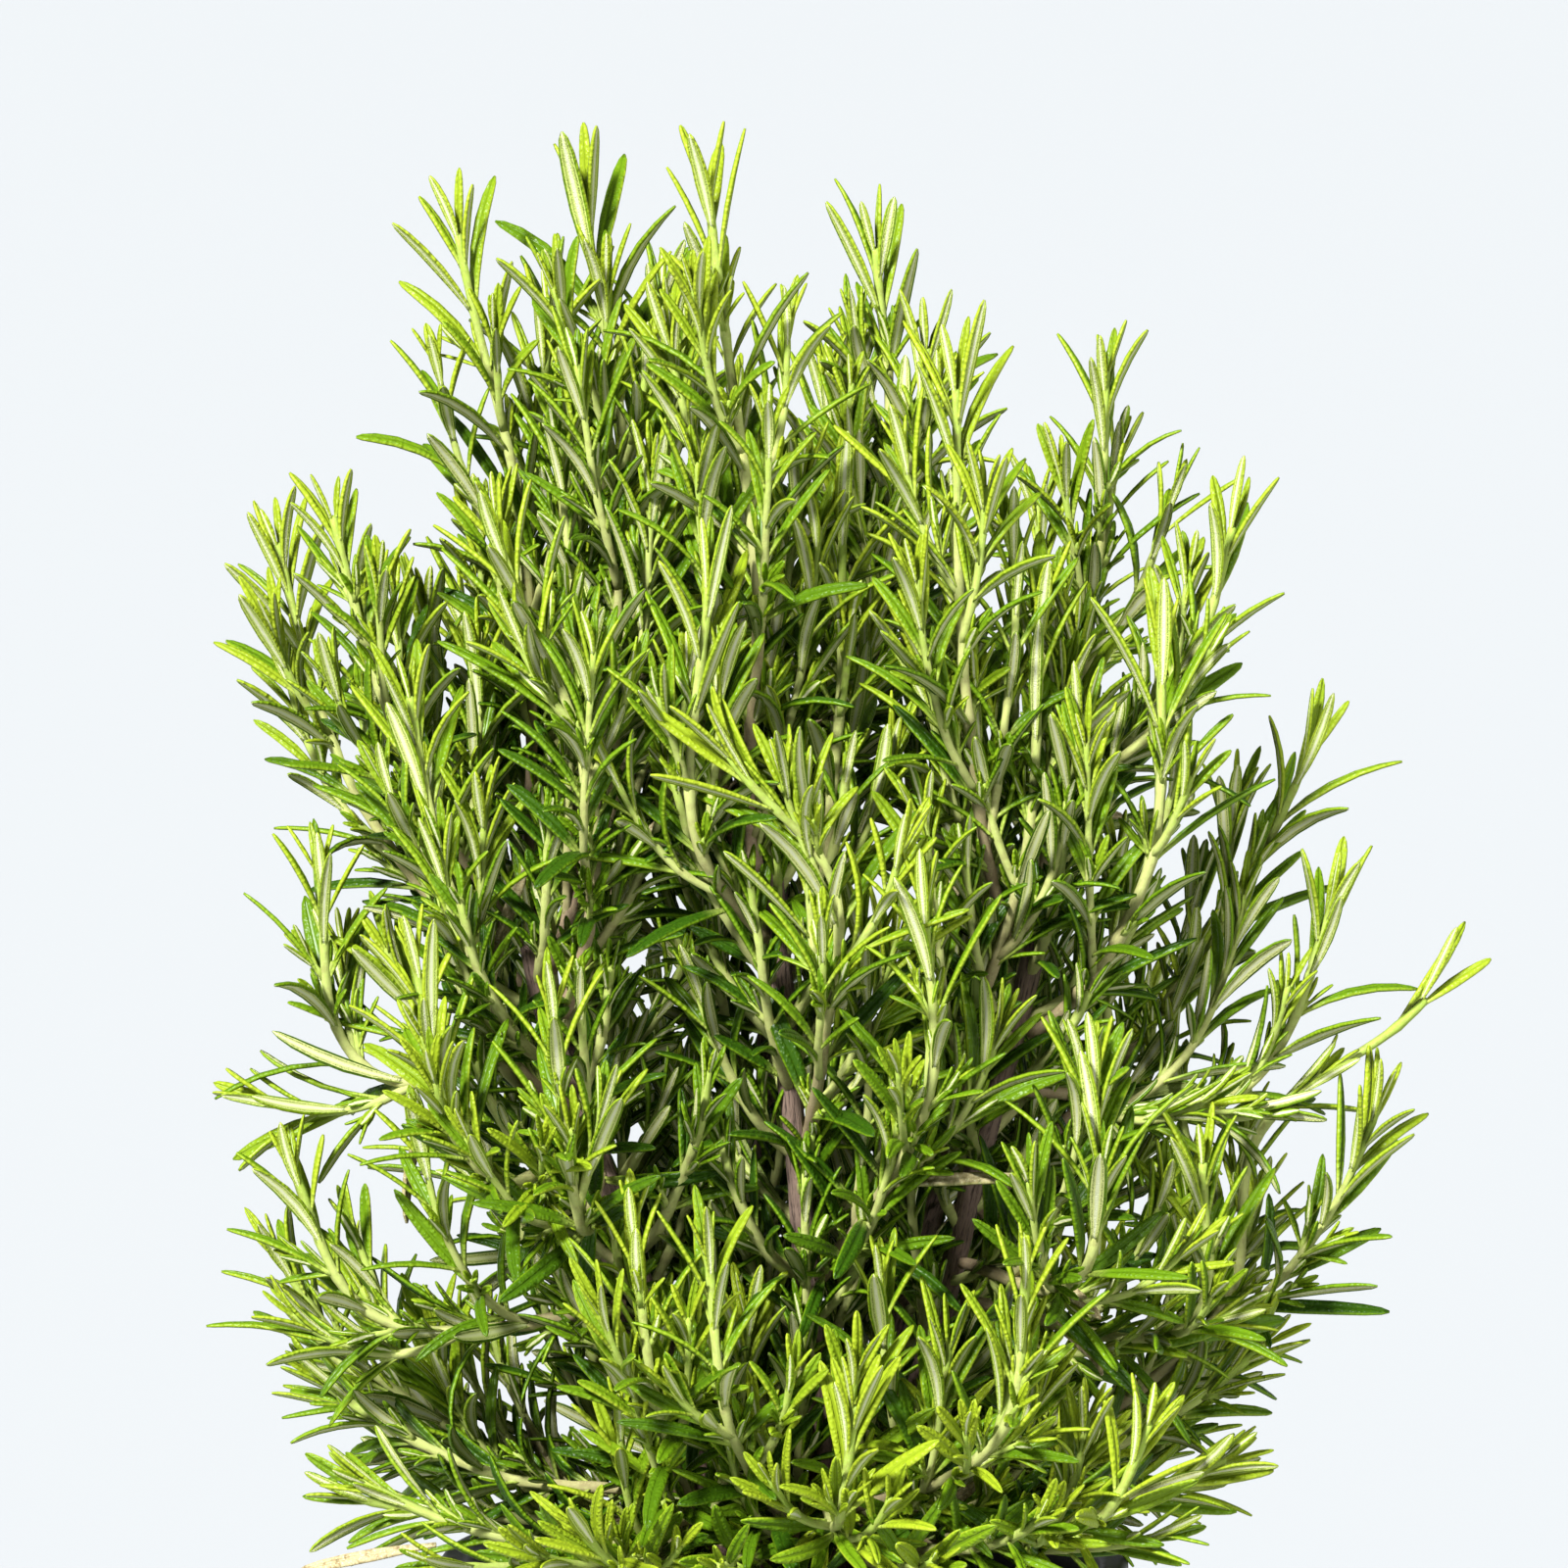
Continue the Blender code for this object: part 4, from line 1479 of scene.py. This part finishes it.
@dataclass(frozen=True)
class BarkFinish(Finish):
    """Reddish-brown bark that splits lengthwise, greyer and smoother towards the top."""

    base: Point = (0.095, 0.045, 0.028)
    dark: Point = (0.024, 0.012, 0.008)
    light: Point = (0.210, 0.150, 0.110)
    fresh: Point = (0.200, 0.135, 0.100)
    roughness: float = 0.85

    def build(self) -> bpy.types.Material:
        """The material.

        Returns:
            The material, ready to put on a mesh.
        """
        made, graph, shader = self.start()
        grain = graph.attribute("grain", "Vector")
        age = graph.attribute("age")
        strip = graph.stretched(grain, (1.6, 0.16, 1.0))
        mottled = Mottle().use(
            graph, Vector=strip, Scale=0.9, Base=self.base, Dark=self.dark, Light=self.light, Amount=0.85
        )
        colour = graph.mix(graph.band(age, 0.45, 0.95), self.fresh, mottled["Color"])
        crack = graph.band(mottled["Height"], 0.36, 0.52)
        colour = graph.mix(graph.math("SUBTRACT", 1.0, crack), colour, self.dark)
        graph.feed(shader.inputs["Base Color"], colour)
        self.bump(graph, shader, mottled["Height"], 0.9, 0.9)
        shader.inputs["Roughness"].default_value = self.roughness
        return made


@dataclass(frozen=True)
class CrumbFinish(Finish):
    """Loose matter with uneven colour: soil, bark chips or perlite."""

    base: Point = (0.055, 0.030, 0.018)
    dark: Point = (0.014, 0.008, 0.005)
    light: Point = (0.160, 0.090, 0.055)
    roughness: float = 0.95
    scale: float = 420.0
    relief: float = 0.6

    def build(self) -> bpy.types.Material:
        """The material.

        Returns:
            The material, ready to put on a mesh.
        """
        made, graph, shader = self.start()
        spot = graph.node("ShaderNodeTexCoord").outputs["Object"]
        mottled = Mottle().use(
            graph, Vector=spot, Scale=self.scale, Base=self.base, Dark=self.dark, Light=self.light, Amount=0.9
        )
        graph.feed(shader.inputs["Base Color"], mottled["Color"])
        self.bump(graph, shader, mottled["Height"], self.relief)
        shader.inputs["Roughness"].default_value = self.roughness
        return made


@dataclass(frozen=True)
class PotFinish(Finish):
    """Charcoal moulded plastic with a fine pebble, dusty near the rim and scuffed where pots nest."""

    plastic: Point = (0.021, 0.021, 0.022)
    dark: Point = (0.013, 0.013, 0.014)
    scuff: Point = (0.060, 0.058, 0.056)
    dust: Point = (0.190, 0.150, 0.115)
    dusty_top: tuple = (0.070, 0.112)
    dusty_foot: tuple = (0.0, 0.012)
    smoothness: float = 0.42

    def build(self) -> bpy.types.Material:
        """The material.

        Returns:
            The material, ready to put on a mesh.
        """
        made, graph, shader = self.start()
        spot = graph.node("ShaderNodeTexCoord").outputs["Object"]
        mottled = Mottle().use(
            graph, Vector=spot, Scale=38.0, Base=self.plastic, Dark=self.dark, Light=self.scuff, Amount=0.35
        )
        height = graph.node("ShaderNodeSeparateXYZ", values={"Vector": spot}).outputs["Z"]
        splash = graph.noise(graph.stretched(spot, (1.0, 1.0, 0.45)), 260.0, 5, 0.7)
        upper = graph.band(height, *self.dusty_top)
        lower = graph.math("SUBTRACT", 1.0, graph.band(height, *self.dusty_foot))
        near_ends = graph.math("MAXIMUM", upper, lower)
        dust = graph.math("MULTIPLY", graph.band(splash, 0.56, 0.72), graph.math("MULTIPLY", near_ends, 0.5))
        colour = graph.mix(dust, mottled["Color"], self.dust)
        graph.feed(shader.inputs["Base Color"], colour)
        pebble = graph.noise(spot, 1500.0, 2)
        self.bump(graph, shader, pebble, 0.08, 0.6)
        rough = graph.math("ADD", self.smoothness, graph.math("MULTIPLY", dust, 0.6))
        graph.feed(shader.inputs["Roughness"], rough)
        return made


@dataclass(frozen=True)
class FloorFinish(Finish):
    """The plain pale floor."""

    colour: Point = (0.4022, 0.4173, 0.4288)
    roughness: float = 0.9
    shine: float = 0.1

    def build(self) -> bpy.types.Material:
        """The material.

        Returns:
            The material, ready to put on a mesh.
        """
        made, _, shader = self.start()
        shader.inputs["Base Color"].default_value = (*self.colour, 1)
        shader.inputs["Roughness"].default_value = self.roughness
        shader.inputs["Specular IOR Level"].default_value = self.shine
        return made


# ---------------------------------------------------------------- sub-assemblies


@dataclass
class WoodyStems:
    """The barked stems and the inner twigs that stand on them, whose leaves and stems are painted darker as
    shade.
    """

    strands: list[Strand]
    bark: bpy.types.Material
    stem: bpy.types.Material
    leaf: bpy.types.Material
    room: Room
    sides: int = 14
    ring_step: float = 1.6
    ridges: float = 0.16
    twig_from: float = 112
    twig_spacing: float = 4.6
    spacing_play: tuple = (0.7, 1.3)
    twig_angles: tuple = (40, 72)
    twig_lengths: tuple = (20, 56)
    twig_rise: float = 0.07
    bare_foot: float = 4
    bare_low_foot: float = 12
    first_seed: int = 300
    stem_turn: float = 1.1

    def build(self) -> None:
        """Every woody stem with its twigs."""
        for number, strand in enumerate(self.strands):
            place(self.trunk(strand), Slot.BARK, strand.name)
            chance = random.Random(self.first_seed + number)
            leaves, stems = Leaves(), Stems()
            distance, turn = 0.0, number * self.stem_turn
            while distance < strand.length - 4:
                if strand.at(distance).z > self.twig_from:
                    self.twig(strand, distance, turn, leaves, stems, chance)
                distance += self.twig_spacing * chance.uniform(*self.spacing_play)
                turn += GOLDEN_TURN
            for owner, passed in LOW_TWIGS:
                if owner == number:
                    self.low_twig(strand, [Vector(p) for p in passed], leaves, stems, chance)
            leaves.add_lone(strand.name)
            place(stems.build(f"{strand.name}_twigs", self.stem), Slot.SHOOT)
            place(leaves.build(f"{strand.name}_twig_leaves", self.leaf), Slot.SHOOT)

    def twig(
        self,
        strand: Strand,
        distance: float,
        turn: float,
        leaves: Leaves,
        stems: Stems,
        chance: random.Random,
    ) -> None:
        """One twig from a woody stem.

        Args:
            strand: the stem it grows from.
            distance: how far up that stem.
            turn: its place round that stem, in radians.
            leaves: gathers its leaves.
            stems: gathers its stems.
            chance: the piece's random numbers.
        """
        along = strand.along(distance)
        across = along.cross(TWIG_SIDELONG).normalized()
        outward = across * math.cos(turn) + along.cross(across) * math.sin(turn)
        angle = math.radians(chance.uniform(*self.twig_angles))
        heading = along * math.cos(angle) + outward * math.sin(angle)
        length = chance.uniform(*self.twig_lengths)
        curve = grow_curve(strand.at(distance), heading, length, self.twig_rise, chance)
        twig = Strand("twig", curve, Skeleton.taper(len(curve), 1.15, 0.7))
        habit = Habit(
            full_length=chance.uniform(16, 23), loose=chance.uniform(6, 9), tuft_share=0.25, age_reach=50
        )
        # Painted shade: the inner twigs' leaves and stems are aged darker to stand for the shade inside the
        # bush.
        vigour = Vigour.SHADED.value + chance.uniform(-0.1, 0.1)
        Sprig(twig, habit, vigour, chance, self.room).clothe(leaves, stems, bare=self.bare_foot, roll=turn)

    def low_twig(
        self, strand: Strand, passed: list[Vector], leaves: Leaves, stems: Stems, chance: random.Random
    ) -> None:
        """One low twig, from the woody stem's nearest point below its first point.

        Args:
            strand: the stem it grows from.
            passed: the points it passes, its tip last.
            leaves: gathers its leaves.
            stems: gathers its stems.
            chance: the piece's random numbers.
        """
        reach = [(passed[0] - p).length + max(0.0, p.z - passed[0].z + 6) * 3 for p in strand.curve]
        foot = strand.curve[reach.index(min(reach))]
        leaving = (passed[0] - foot).normalized() + UP * 0.3
        arriving = (passed[-1] - passed[-2]).normalized() + UP * 0.25
        curve = Skeleton().smooth_route([foot, *passed], leaving, arriving)
        twig = Strand("low_twig", curve, Skeleton.taper(len(curve), 1.3, 0.75))
        habit = Habit(
            full_length=chance.uniform(20, 26), loose=chance.uniform(6, 8), tuft_share=0.5, age_reach=70
        )
        vigour = Vigour.PLAIN.value + chance.uniform(-0.08, 0.2)
        sprig = Sprig(twig, habit, vigour, chance, self.room)
        sprig.clothe(leaves, stems, bare=self.bare_low_foot, roll=chance.uniform(0, 3))

    def trunk(self, strand: Strand) -> bpy.types.Object:
        """The barked tube of one stem, ridged along its length.

        Args:
            strand: the woody strand.

        Returns:
            The object.
        """
        skin = Skin()
        count = round(strand.length / self.ring_step) + 1
        distances = np.linspace(0, strand.length, count)
        side, rings = Vector((1, 0, 0)), []
        seed = Vector((len(strand.name), strand.curve[0].x, strand.curve[0].y))
        for distance in distances:
            along = strand.along(distance)
            side = (side - along * side.dot(along)).normalized()
            other = along.cross(side)
            centre, radius = strand.at(distance), strand.radius(distance)
            for k in range(self.sides):
                t = math.tau * k / self.sides
                spot = Vector((math.cos(t) * 1.7, math.sin(t) * 1.7, distance * 0.045)) + seed
                swell = 1 + self.ridges * noise.noise(spot * 1.3) + 0.10 * noise.noise(spot * 3.9)
                rings.append(tuple(centre + (side * math.cos(t) + other * math.sin(t)) * radius * swell))
        ends = [tuple(strand.curve[0]), tuple(strand.curve[-1] + strand.along(strand.length) * 1.2)]
        points = np.array(rings + ends)
        quads, uvs = Stems(sides=self.sides).faces(count, 1, 1, 0)
        length = np.repeat(distances, self.sides)
        around = np.tile(np.arange(self.sides) / self.sides * math.tau * strand.radii[0], count)
        grain = np.stack([around, length, np.zeros(len(length))], axis=1)
        age = np.append(np.repeat(1 - distances / strand.length, self.sides), [1, 0])
        skin.add(points, quads, uvs, np.vstack([grain, grain[:1], grain[-1:]]), age=age)
        return skin.build(f"{strand.name}_bark", self.bark)


@dataclass
class SoftShoots:
    """The green shoots: each a clothed main stem with side branches."""

    strands: list[Strand]
    stem: bpy.types.Material
    leaf: bpy.types.Material
    room: Room
    branch_spacing: float = 12.5
    branch_from: float = 38
    slimness: float = 0.86
    branch_play: tuple = (0.75, 1.25)
    branch_angles: tuple = (24, 42)
    branch_shares: tuple = (0.45, 0.8)
    longest_branch: float = 62
    branch_rise: float = 0.075
    bare_foot: float = 5

    def vigour(self, number: int) -> float:
        """How fresh a shoot is, by its number.

        Args:
            number: the shoot's number.

        Returns:
            What is added to the age of its leaves.
        """
        if number in BRIGHT_SHOOTS:
            return Vigour.BRIGHT.value
        if number in FRESH_SHOOTS:
            return Vigour.FRESH.value
        return Vigour.PLAIN.value

    def habit(self, number: int, chance: random.Random) -> Habit:
        """A shoot's way of growing: wider gaps on lanky shoots, a bare length on outliers.

        Args:
            number: the shoot's number.
            chance: the shoot's random numbers.

        Returns:
            The habit.
        """
        if number in OUTLYING_SHOOTS:
            return Habit(
                full_length=27, young_reach=4, tight=6.5, loose=12, upright=16, spread=60, tuft_share=0.2,
                gap_from=14, gap_to=66,
            )
        if number in LANKY_SHOOTS:
            return Habit(
                full_length=chance.uniform(26, 30), young_reach=7, tight=5.0, widening=0.45, loose=14.5,
                spread=26,
            )
        return Habit(
            full_length=chance.uniform(23, 28), loose=chance.uniform(8, 11), spread=chance.uniform(26, 42)
        )

    def build(self) -> None:
        """Every shoot."""
        for number, strand in enumerate(self.strands, 1):
            chance = random.Random(number)
            vigour = self.vigour(number)
            leaves, stems = Leaves(), Stems()
            habit = self.habit(number, chance)
            slim = Strand(strand.name, strand.curve, [r * self.slimness for r in strand.radii])
            Sprig(slim, habit, vigour, chance, self.room).clothe(leaves, stems, roll=chance.uniform(0, 1.5))
            self.branches(slim, vigour, max(self.branch_from, habit.gap_to), leaves, stems, chance)
            leaves.add_lone(strand.name)
            place(stems.build(f"{strand.name}_stem", self.stem), Slot.SHOOT, strand.name)
            place(leaves.build(f"{strand.name}_leaves", self.leaf), Slot.SHOOT, strand.name)

    def branches(
        self, strand: Strand, vigour: float, below: float, leaves: Leaves, stems: Stems, chance: random.Random
    ) -> None:
        """Side branches from the lower part of a shoot, the first of them this far below its tip.

        Args:
            strand: the stem it grows from.
            vigour: what is added to the age of the shoot's leaves.
            below: how far the first branch is below the tip.
            leaves: gathers its leaves.
            stems: gathers its stems.
            chance: the piece's random numbers.
        """
        turn = chance.uniform(0, math.tau)
        while below < strand.length - 6:
            distance = strand.length - below
            along = strand.along(distance)
            across = along.cross(SIDELONG).normalized()
            outward = across * math.cos(turn) + along.cross(across) * math.sin(turn)
            angle = math.radians(chance.uniform(*self.branch_angles))
            heading = along * math.cos(angle) + outward * math.sin(angle)
            length = min(below * chance.uniform(*self.branch_shares), self.longest_branch)
            curve = grow_curve(strand.at(distance), heading, length, self.branch_rise, chance)
            twig = Strand("branch", curve, Skeleton.taper(len(curve), 0.9, 0.55))
            habit = Habit(full_length=chance.uniform(20, 26), loose=chance.uniform(6.5, 9), tuft_share=0.4)
            branch_vigour = vigour + 0.06 + chance.uniform(-0.06, 0.12)
            sprig = Sprig(twig, habit, branch_vigour, chance, self.room)
            sprig.clothe(leaves, stems, bare=self.bare_foot, roll=turn)
            below += self.branch_spacing * chance.uniform(*self.branch_play)
            turn += GOLDEN_TURN


@dataclass
class Soil:
    """The soil bed, its crumbs, bark chips and perlite."""

    pot: PotSizes
    sizes: SoilSizes
    bed: bpy.types.Material
    chip: bpy.types.Material
    perlite: bpy.types.Material
    rings: int = 44
    sectors: int = 132
    gap: float = 0.3
    seed: int = 41
    crumbling: tuple = ((1.5, 0.09), (0.9, 0.27), (0.5, 0.7))
    lumps: tuple = (
        ("soil_crumbs", 420, 0.8, 2.4, 0.9),
        ("bark_chips", 150, 1.8, 4.4, 0.4),
        ("perlite_grains", 46, 0.8, 1.7, 0.95),
    )

    def build(self) -> None:
        """The bed and what lies on it."""
        place(self.make_bed(), Slot.SOIL, "potting_soil")
        chance = random.Random(self.seed)
        for (name, *sizes), material in zip(self.lumps, (self.bed, self.chip, self.perlite)):
            place(self.scatter(name, material, *sizes, chance), Slot.SOIL)

    def top(self, x: float, y: float) -> float:
        """Height of the crumbly top at a point.

        Args:
            x: millimetres.
            y: millimetres.

        Returns:
            The height in millimetres.
        """
        spot = Vector((x, y, 0))
        rough = sum(rise * noise.noise(spot * fine) for rise, fine in self.crumbling)
        return self.sizes.height(self.pot, x, y) + rough

    def make_bed(self) -> bpy.types.Object:
        """A closed body: crumbly top, plain sides and bottom that follow the pot's inside.

        Returns:
            The object.
        """
        edge = self.pot.height - self.sizes.below_rim
        inner = self.pot.wall + self.gap
        outer = self.pot.wall_radius(edge) - inner
        radii = [outer * math.sqrt(j / self.rings) for j in range(1, self.rings + 1)]
        rows = [[(radius, None) for _ in range(self.sectors)] for radius in radii]
        below = [
            (self.pot.wall_radius(edge - 4) - inner, edge - 4),
            (self.pot.wall_radius(self.pot.step_height + 1) - inner, self.pot.step_height + 1),
            (self.pot.wall_radius(self.pot.step_height - 1) - inner, self.pot.step_height - 1),
            (self.pot.wall_radius(self.pot.floor) - inner - 1.2, self.pot.floor + self.gap),
            (20.0, self.pot.floor + self.gap),
        ]
        rows += [[(radius, height)] * self.sectors for radius, height in below]
        points = []
        for row in rows:
            for k, (radius, height) in enumerate(row):
                turn = math.tau * k / self.sectors
                x, y = radius * math.cos(turn), radius * math.sin(turn)
                points.append((x, y, self.top(x, y) if height is None else height))
        count = len(rows)
        points += [(0, 0, self.top(0, 0)), (0, 0, self.pot.floor + self.gap)]
        quads, uvs = Stems(sides=self.sectors).faces(count, 1, 1, 0)
        quads = quads[:, ::-1]
        uvs = uvs[:, ::-1]
        grain = np.array(points)
        skin = Skin()
        skin.add(np.array(points, float), quads, uvs, grain)
        return skin.build("soil_bed", self.bed)

    def scatter(
        self, name: str, material: bpy.types.Material, count: int, least: float, most: float, flat: float,
        chance: random.Random,
    ) -> bpy.types.Object:
        """Rough lumps lying on the soil, as one object.

        Args:
            name: the piece's name.
            material: its material.
            count: how many lumps.
            least: smallest size.
            most: largest size.
            flat: thickness as a share of the size.
            chance: the source of their places and shapes.

        Returns:
            The object.
        """
        skin = Skin()
        rings, sides = 5, 8
        columns, rows = cells(count, 1.0)
        limit = self.pot.wall_radius(self.pot.height - self.sizes.below_rim) - self.pot.wall - 2
        for number in range(count):
            size = least + (most - least) * chance.random() ** 2
            radius = (limit - size) * math.sqrt(chance.random())
            turn = chance.uniform(0, math.tau)
            x, y = radius * math.cos(turn), radius * math.sin(turn)
            centre = Vector((x, y, self.top(x, y) + size * flat * 0.22))
            dip = chance.uniform(-0.3, 0.3)
            long_way = Vector((math.cos(turn * 3), math.sin(turn * 3), dip)).normalized()
            wide_way = long_way.cross(UP).normalized()
            high_way = wide_way.cross(long_way)
            points = []
            for j, k in product(range(rings), range(sides)):
                lift = math.pi * (j + 0.6) / (rings + 0.2)
                spin = math.tau * k / sides
                girth = math.sin(lift)
                ball = Vector((math.cos(lift), girth * math.cos(spin), girth * math.sin(spin)))
                grow = size * 0.5 * (1 + 0.5 * noise.noise(ball * 1.6 + centre))
                shape = long_way * ball.x * LUMP_LONG + wide_way * ball.y * LUMP_WIDE
                shape += high_way * ball.z * flat
                points.append(tuple(centre + shape * grow))
            first = tuple(centre + long_way * size * 0.6)
            last = tuple(centre - long_way * size * 0.6)
            quads, uvs = Stems(sides=sides).faces(rings, columns, rows, number)
            points = np.array(points + [first, last])
            skin.add(points, quads[:, ::-1], uvs[:, ::-1], points)
        return skin.build(name, material)


@dataclass
class Pot:
    """The nursery pot: turned wall with a soft rim, nesting step and drain holes."""

    sizes: PotSizes
    plastic: bpy.types.Material
    sides: int = 160

    def profile(self) -> list[tuple[float, float]]:
        """The closed section of the wall, from the underside's middle round to the floor's middle.

        Returns:
            Pairs of radius and height, in millimetres.
        """
        s = self.sizes
        rim_foot = s.height - s.rim_height
        outside = [
            (0, 0),
            (s.wall_radius(0) - 7, 0),
            (s.wall_radius(0) - 1.6, 0),
            (s.wall_radius(0) - 0.5, 0.4),
            (s.wall_radius(1.5), 1.6),
            (s.wall_radius(8), 8),
            (s.wall_radius(s.step_height - 1.4), s.step_height - 1.4),
            (s.wall_radius(s.step_height - 1) + 0.25, s.step_height - 0.6),
            (s.wall_radius(s.step_height + 1) - 0.15, s.step_height + 0.5),
            (s.wall_radius(s.step_height + 1.4), s.step_height + 1.4),
            (s.wall_radius(58), 58),
            (s.wall_radius(rim_foot - 1), rim_foot - 1),
            (s.wall_radius(rim_foot) + 0.3, rim_foot - 0.3),
            (s.rim_radius - 1.6, rim_foot - 0.5),
            (s.rim_radius - 0.75, rim_foot - 0.3),
            (s.rim_radius - 0.45, rim_foot + 0.4),
            (s.rim_radius - 0.1, s.height - 1.8),
            (s.rim_radius - 0.15, s.height - 0.9),
            (s.rim_radius - 0.6, s.height - 0.25),
            (s.rim_radius - 1.4, s.height),
        ]
        inside = [
            (s.top_radius - s.wall + 1.4, s.height),
            (s.top_radius - s.wall + 0.6, s.height - 0.2),
            (s.wall_radius(s.height - 1) - s.wall, s.height - 1.2),
            (s.wall_radius(s.height - 8) - s.wall, s.height - 8),
            (s.wall_radius(s.step_height + 1) - s.wall, s.step_height + 1),
            (s.wall_radius(s.step_height - 1) - s.wall, s.step_height - 1),
            (s.wall_radius(s.floor) - s.wall - 1, s.floor),
            (0, s.floor),
        ]
        return outside + inside

    def build(self) -> None:
        """The pot with its drain holes cut."""
        profile = self.profile()
        turns = [math.tau * k / self.sides for k in range(self.sides)]
        points = [
            (radius * math.cos(turn), radius * math.sin(turn), height)
            for radius, height in profile[1:-1]
            for turn in turns
        ]
        points += [(0, 0, profile[0][1]), (0, 0, profile[-1][1])]
        quads, uvs = Stems(sides=self.sides).faces(len(profile) - 2, 1, 1, 0)
        points = np.array(points, float)
        skin = Skin()
        skin.add(points, quads, uvs, points)
        pot = skin.build("pot_shell", self.plastic)
        pot.data.uv_layers.remove(pot.data.uv_layers[UV_MAP])
        self.drill(pot)
        pot.data.set_sharp_from_angle(angle=math.radians(40))
        place(pot, Slot.POT, "pot")

    def drill(self, pot: bpy.types.Object) -> None:
        """Cuts the drain holes through the floor.

        Args:
            pot: the pot.
        """
        s = self.sizes
        for number in range(s.drain_holes):
            turn = math.tau * number / s.drain_holes + s.drain_turn
            spot = (s.drain_circle * math.cos(turn), s.drain_circle * math.sin(turn), s.floor / 2)
            bpy.ops.mesh.primitive_cylinder_add(
                vertices=32, radius=s.drain_radius * MM, depth=12 * MM, location=[v * MM for v in spot]
            )
            tool = bpy.context.active_object
            hole = pot.modifiers.new(f"drain_{number + 1}", "BOOLEAN")
            hole.operation = "DIFFERENCE"
            hole.solver = "EXACT"
            hole.object = tool
            bpy.context.view_layer.objects.active = pot
            bpy.ops.object.modifier_apply(modifier=hole.name)
            bpy.data.objects.remove(tool, do_unlink=True)


@dataclass
class Studio:
    """The pale floor, soft light and the camera."""

    floor_radius: float = 40.0
    distance: float = 1.75
    elevation: float = math.radians(6)
    frame_width: float = 0.302
    aim: Point = (0.0, 0.0, 0.263)
    sensor: float = 36.0
    horizon: Point = (0.905, 0.939, 0.965)
    zenith: Point = (0.10, 0.11, 0.115)
    horizon_band: tuple = (0.05, 0.18)
    key: tuple = (10.2, (53, 0, -28), 9)
    fill: tuple = (1.4, (66, 0, 38), 16)
    far: float = 50

    def build(self) -> None:
        """Floor, lights, sky and camera."""
        self.floor()
        self.sky()
        self.sun("key_light", *self.key)
        self.sun("fill_light", *self.fill)
        self.camera()

    def floor(self) -> None:
        """A wide round floor."""
        bpy.ops.mesh.primitive_circle_add(vertices=96, radius=self.floor_radius, fill_type="NGON")
        floor = bpy.context.active_object
        floor.name = "studio_floor"
        floor.data.materials.append(FloorFinish("floor_paper").build())

    def sky(self) -> None:
        """Pale light from all round: bright near the horizon, dimmer overhead."""
        world = bpy.data.worlds.new("studio_sky")
        world.use_nodes = True
        graph = Graph(world.node_tree)
        way = graph.node("ShaderNodeTexCoord").outputs["Generated"]
        height = graph.node("ShaderNodeSeparateXYZ", values={"Vector": way}).outputs["Z"]
        colour = graph.mix(graph.band(height, *self.horizon_band), self.horizon, self.zenith)
        graph.feed(world.node_tree.nodes["Background"].inputs["Color"], colour)
        bpy.context.scene.world = world

    def sun(self, name: str, strength: float, turns: tuple, size: float) -> None:
        """A broad lamp, far away; turns and size are in degrees.

        Args:
            name: the lamp's name.
            strength: watts for each square metre.
            turns: its turns about X, Y and Z.
            size: the angle it fills in the sky.
        """
        light = bpy.data.lights.new(name, "SUN")
        light.energy = strength
        light.angle = math.radians(size)
        ob = bpy.data.objects.new(name, light)
        ob.rotation_euler = tuple(math.radians(t) for t in turns)
        bpy.context.scene.collection.objects.link(ob)

    def camera(self) -> None:
        """A long lens, a little above the plant's middle."""
        data = bpy.data.cameras.new("camera")
        data.sensor_width = self.sensor
        data.lens = self.sensor * self.distance / self.frame_width
        data.clip_end = self.far
        ob = bpy.data.objects.new("camera", data)
        back = Vector((0, -math.cos(self.elevation), math.sin(self.elevation)))
        ob.location = Vector(self.aim) + back * self.distance
        ob.rotation_euler = (-back).to_track_quat("-Z", "Y").to_euler()
        bpy.context.scene.collection.objects.link(ob)
        bpy.context.scene.camera = ob
        bpy.context.scene.view_settings.view_transform = "Standard"


def main() -> None:
    """Builds the plant, its pot and the studio, in order."""
    logging.basicConfig(level=logging.INFO, format="%(message)s")
    skeleton = Skeleton()
    woody = [skeleton.woody_strand(number) for number in range(len(WOODY_STEMS))]
    shoots = skeleton.shoots(woody)
    low, high = (Vector(corner) / MM for corner in cad_box)
    room = Room(low, high, skeleton.pot)
    leaf = LeafFinish("rosemary_leaf").build()
    stem = SoftStemFinish("soft_stem").build()
    bark = BarkFinish("woody_bark").build()
    earth = CrumbFinish("potting_mix").build()
    chip = CrumbFinish(
        "bark_chip",
        base=(0.15, 0.07, 0.04),
        dark=(0.05, 0.022, 0.012),
        light=(0.3, 0.17, 0.1),
        roughness=0.85,
    ).build()
    grit = CrumbFinish(
        "perlite",
        base=(0.72, 0.70, 0.66),
        dark=(0.5, 0.47, 0.42),
        light=(0.85, 0.84, 0.8),
        roughness=0.9,
    ).build()
    Pot(skeleton.pot, PotFinish("charcoal_plastic").build()).build()
    Soil(skeleton.pot, skeleton.soil, earth, chip, grit).build()
    WoodyStems(woody, bark, stem, leaf, room).build()
    SoftShoots(shoots, stem, leaf, room).build()
    Studio().build()


if __name__ == "__main__":
    main()
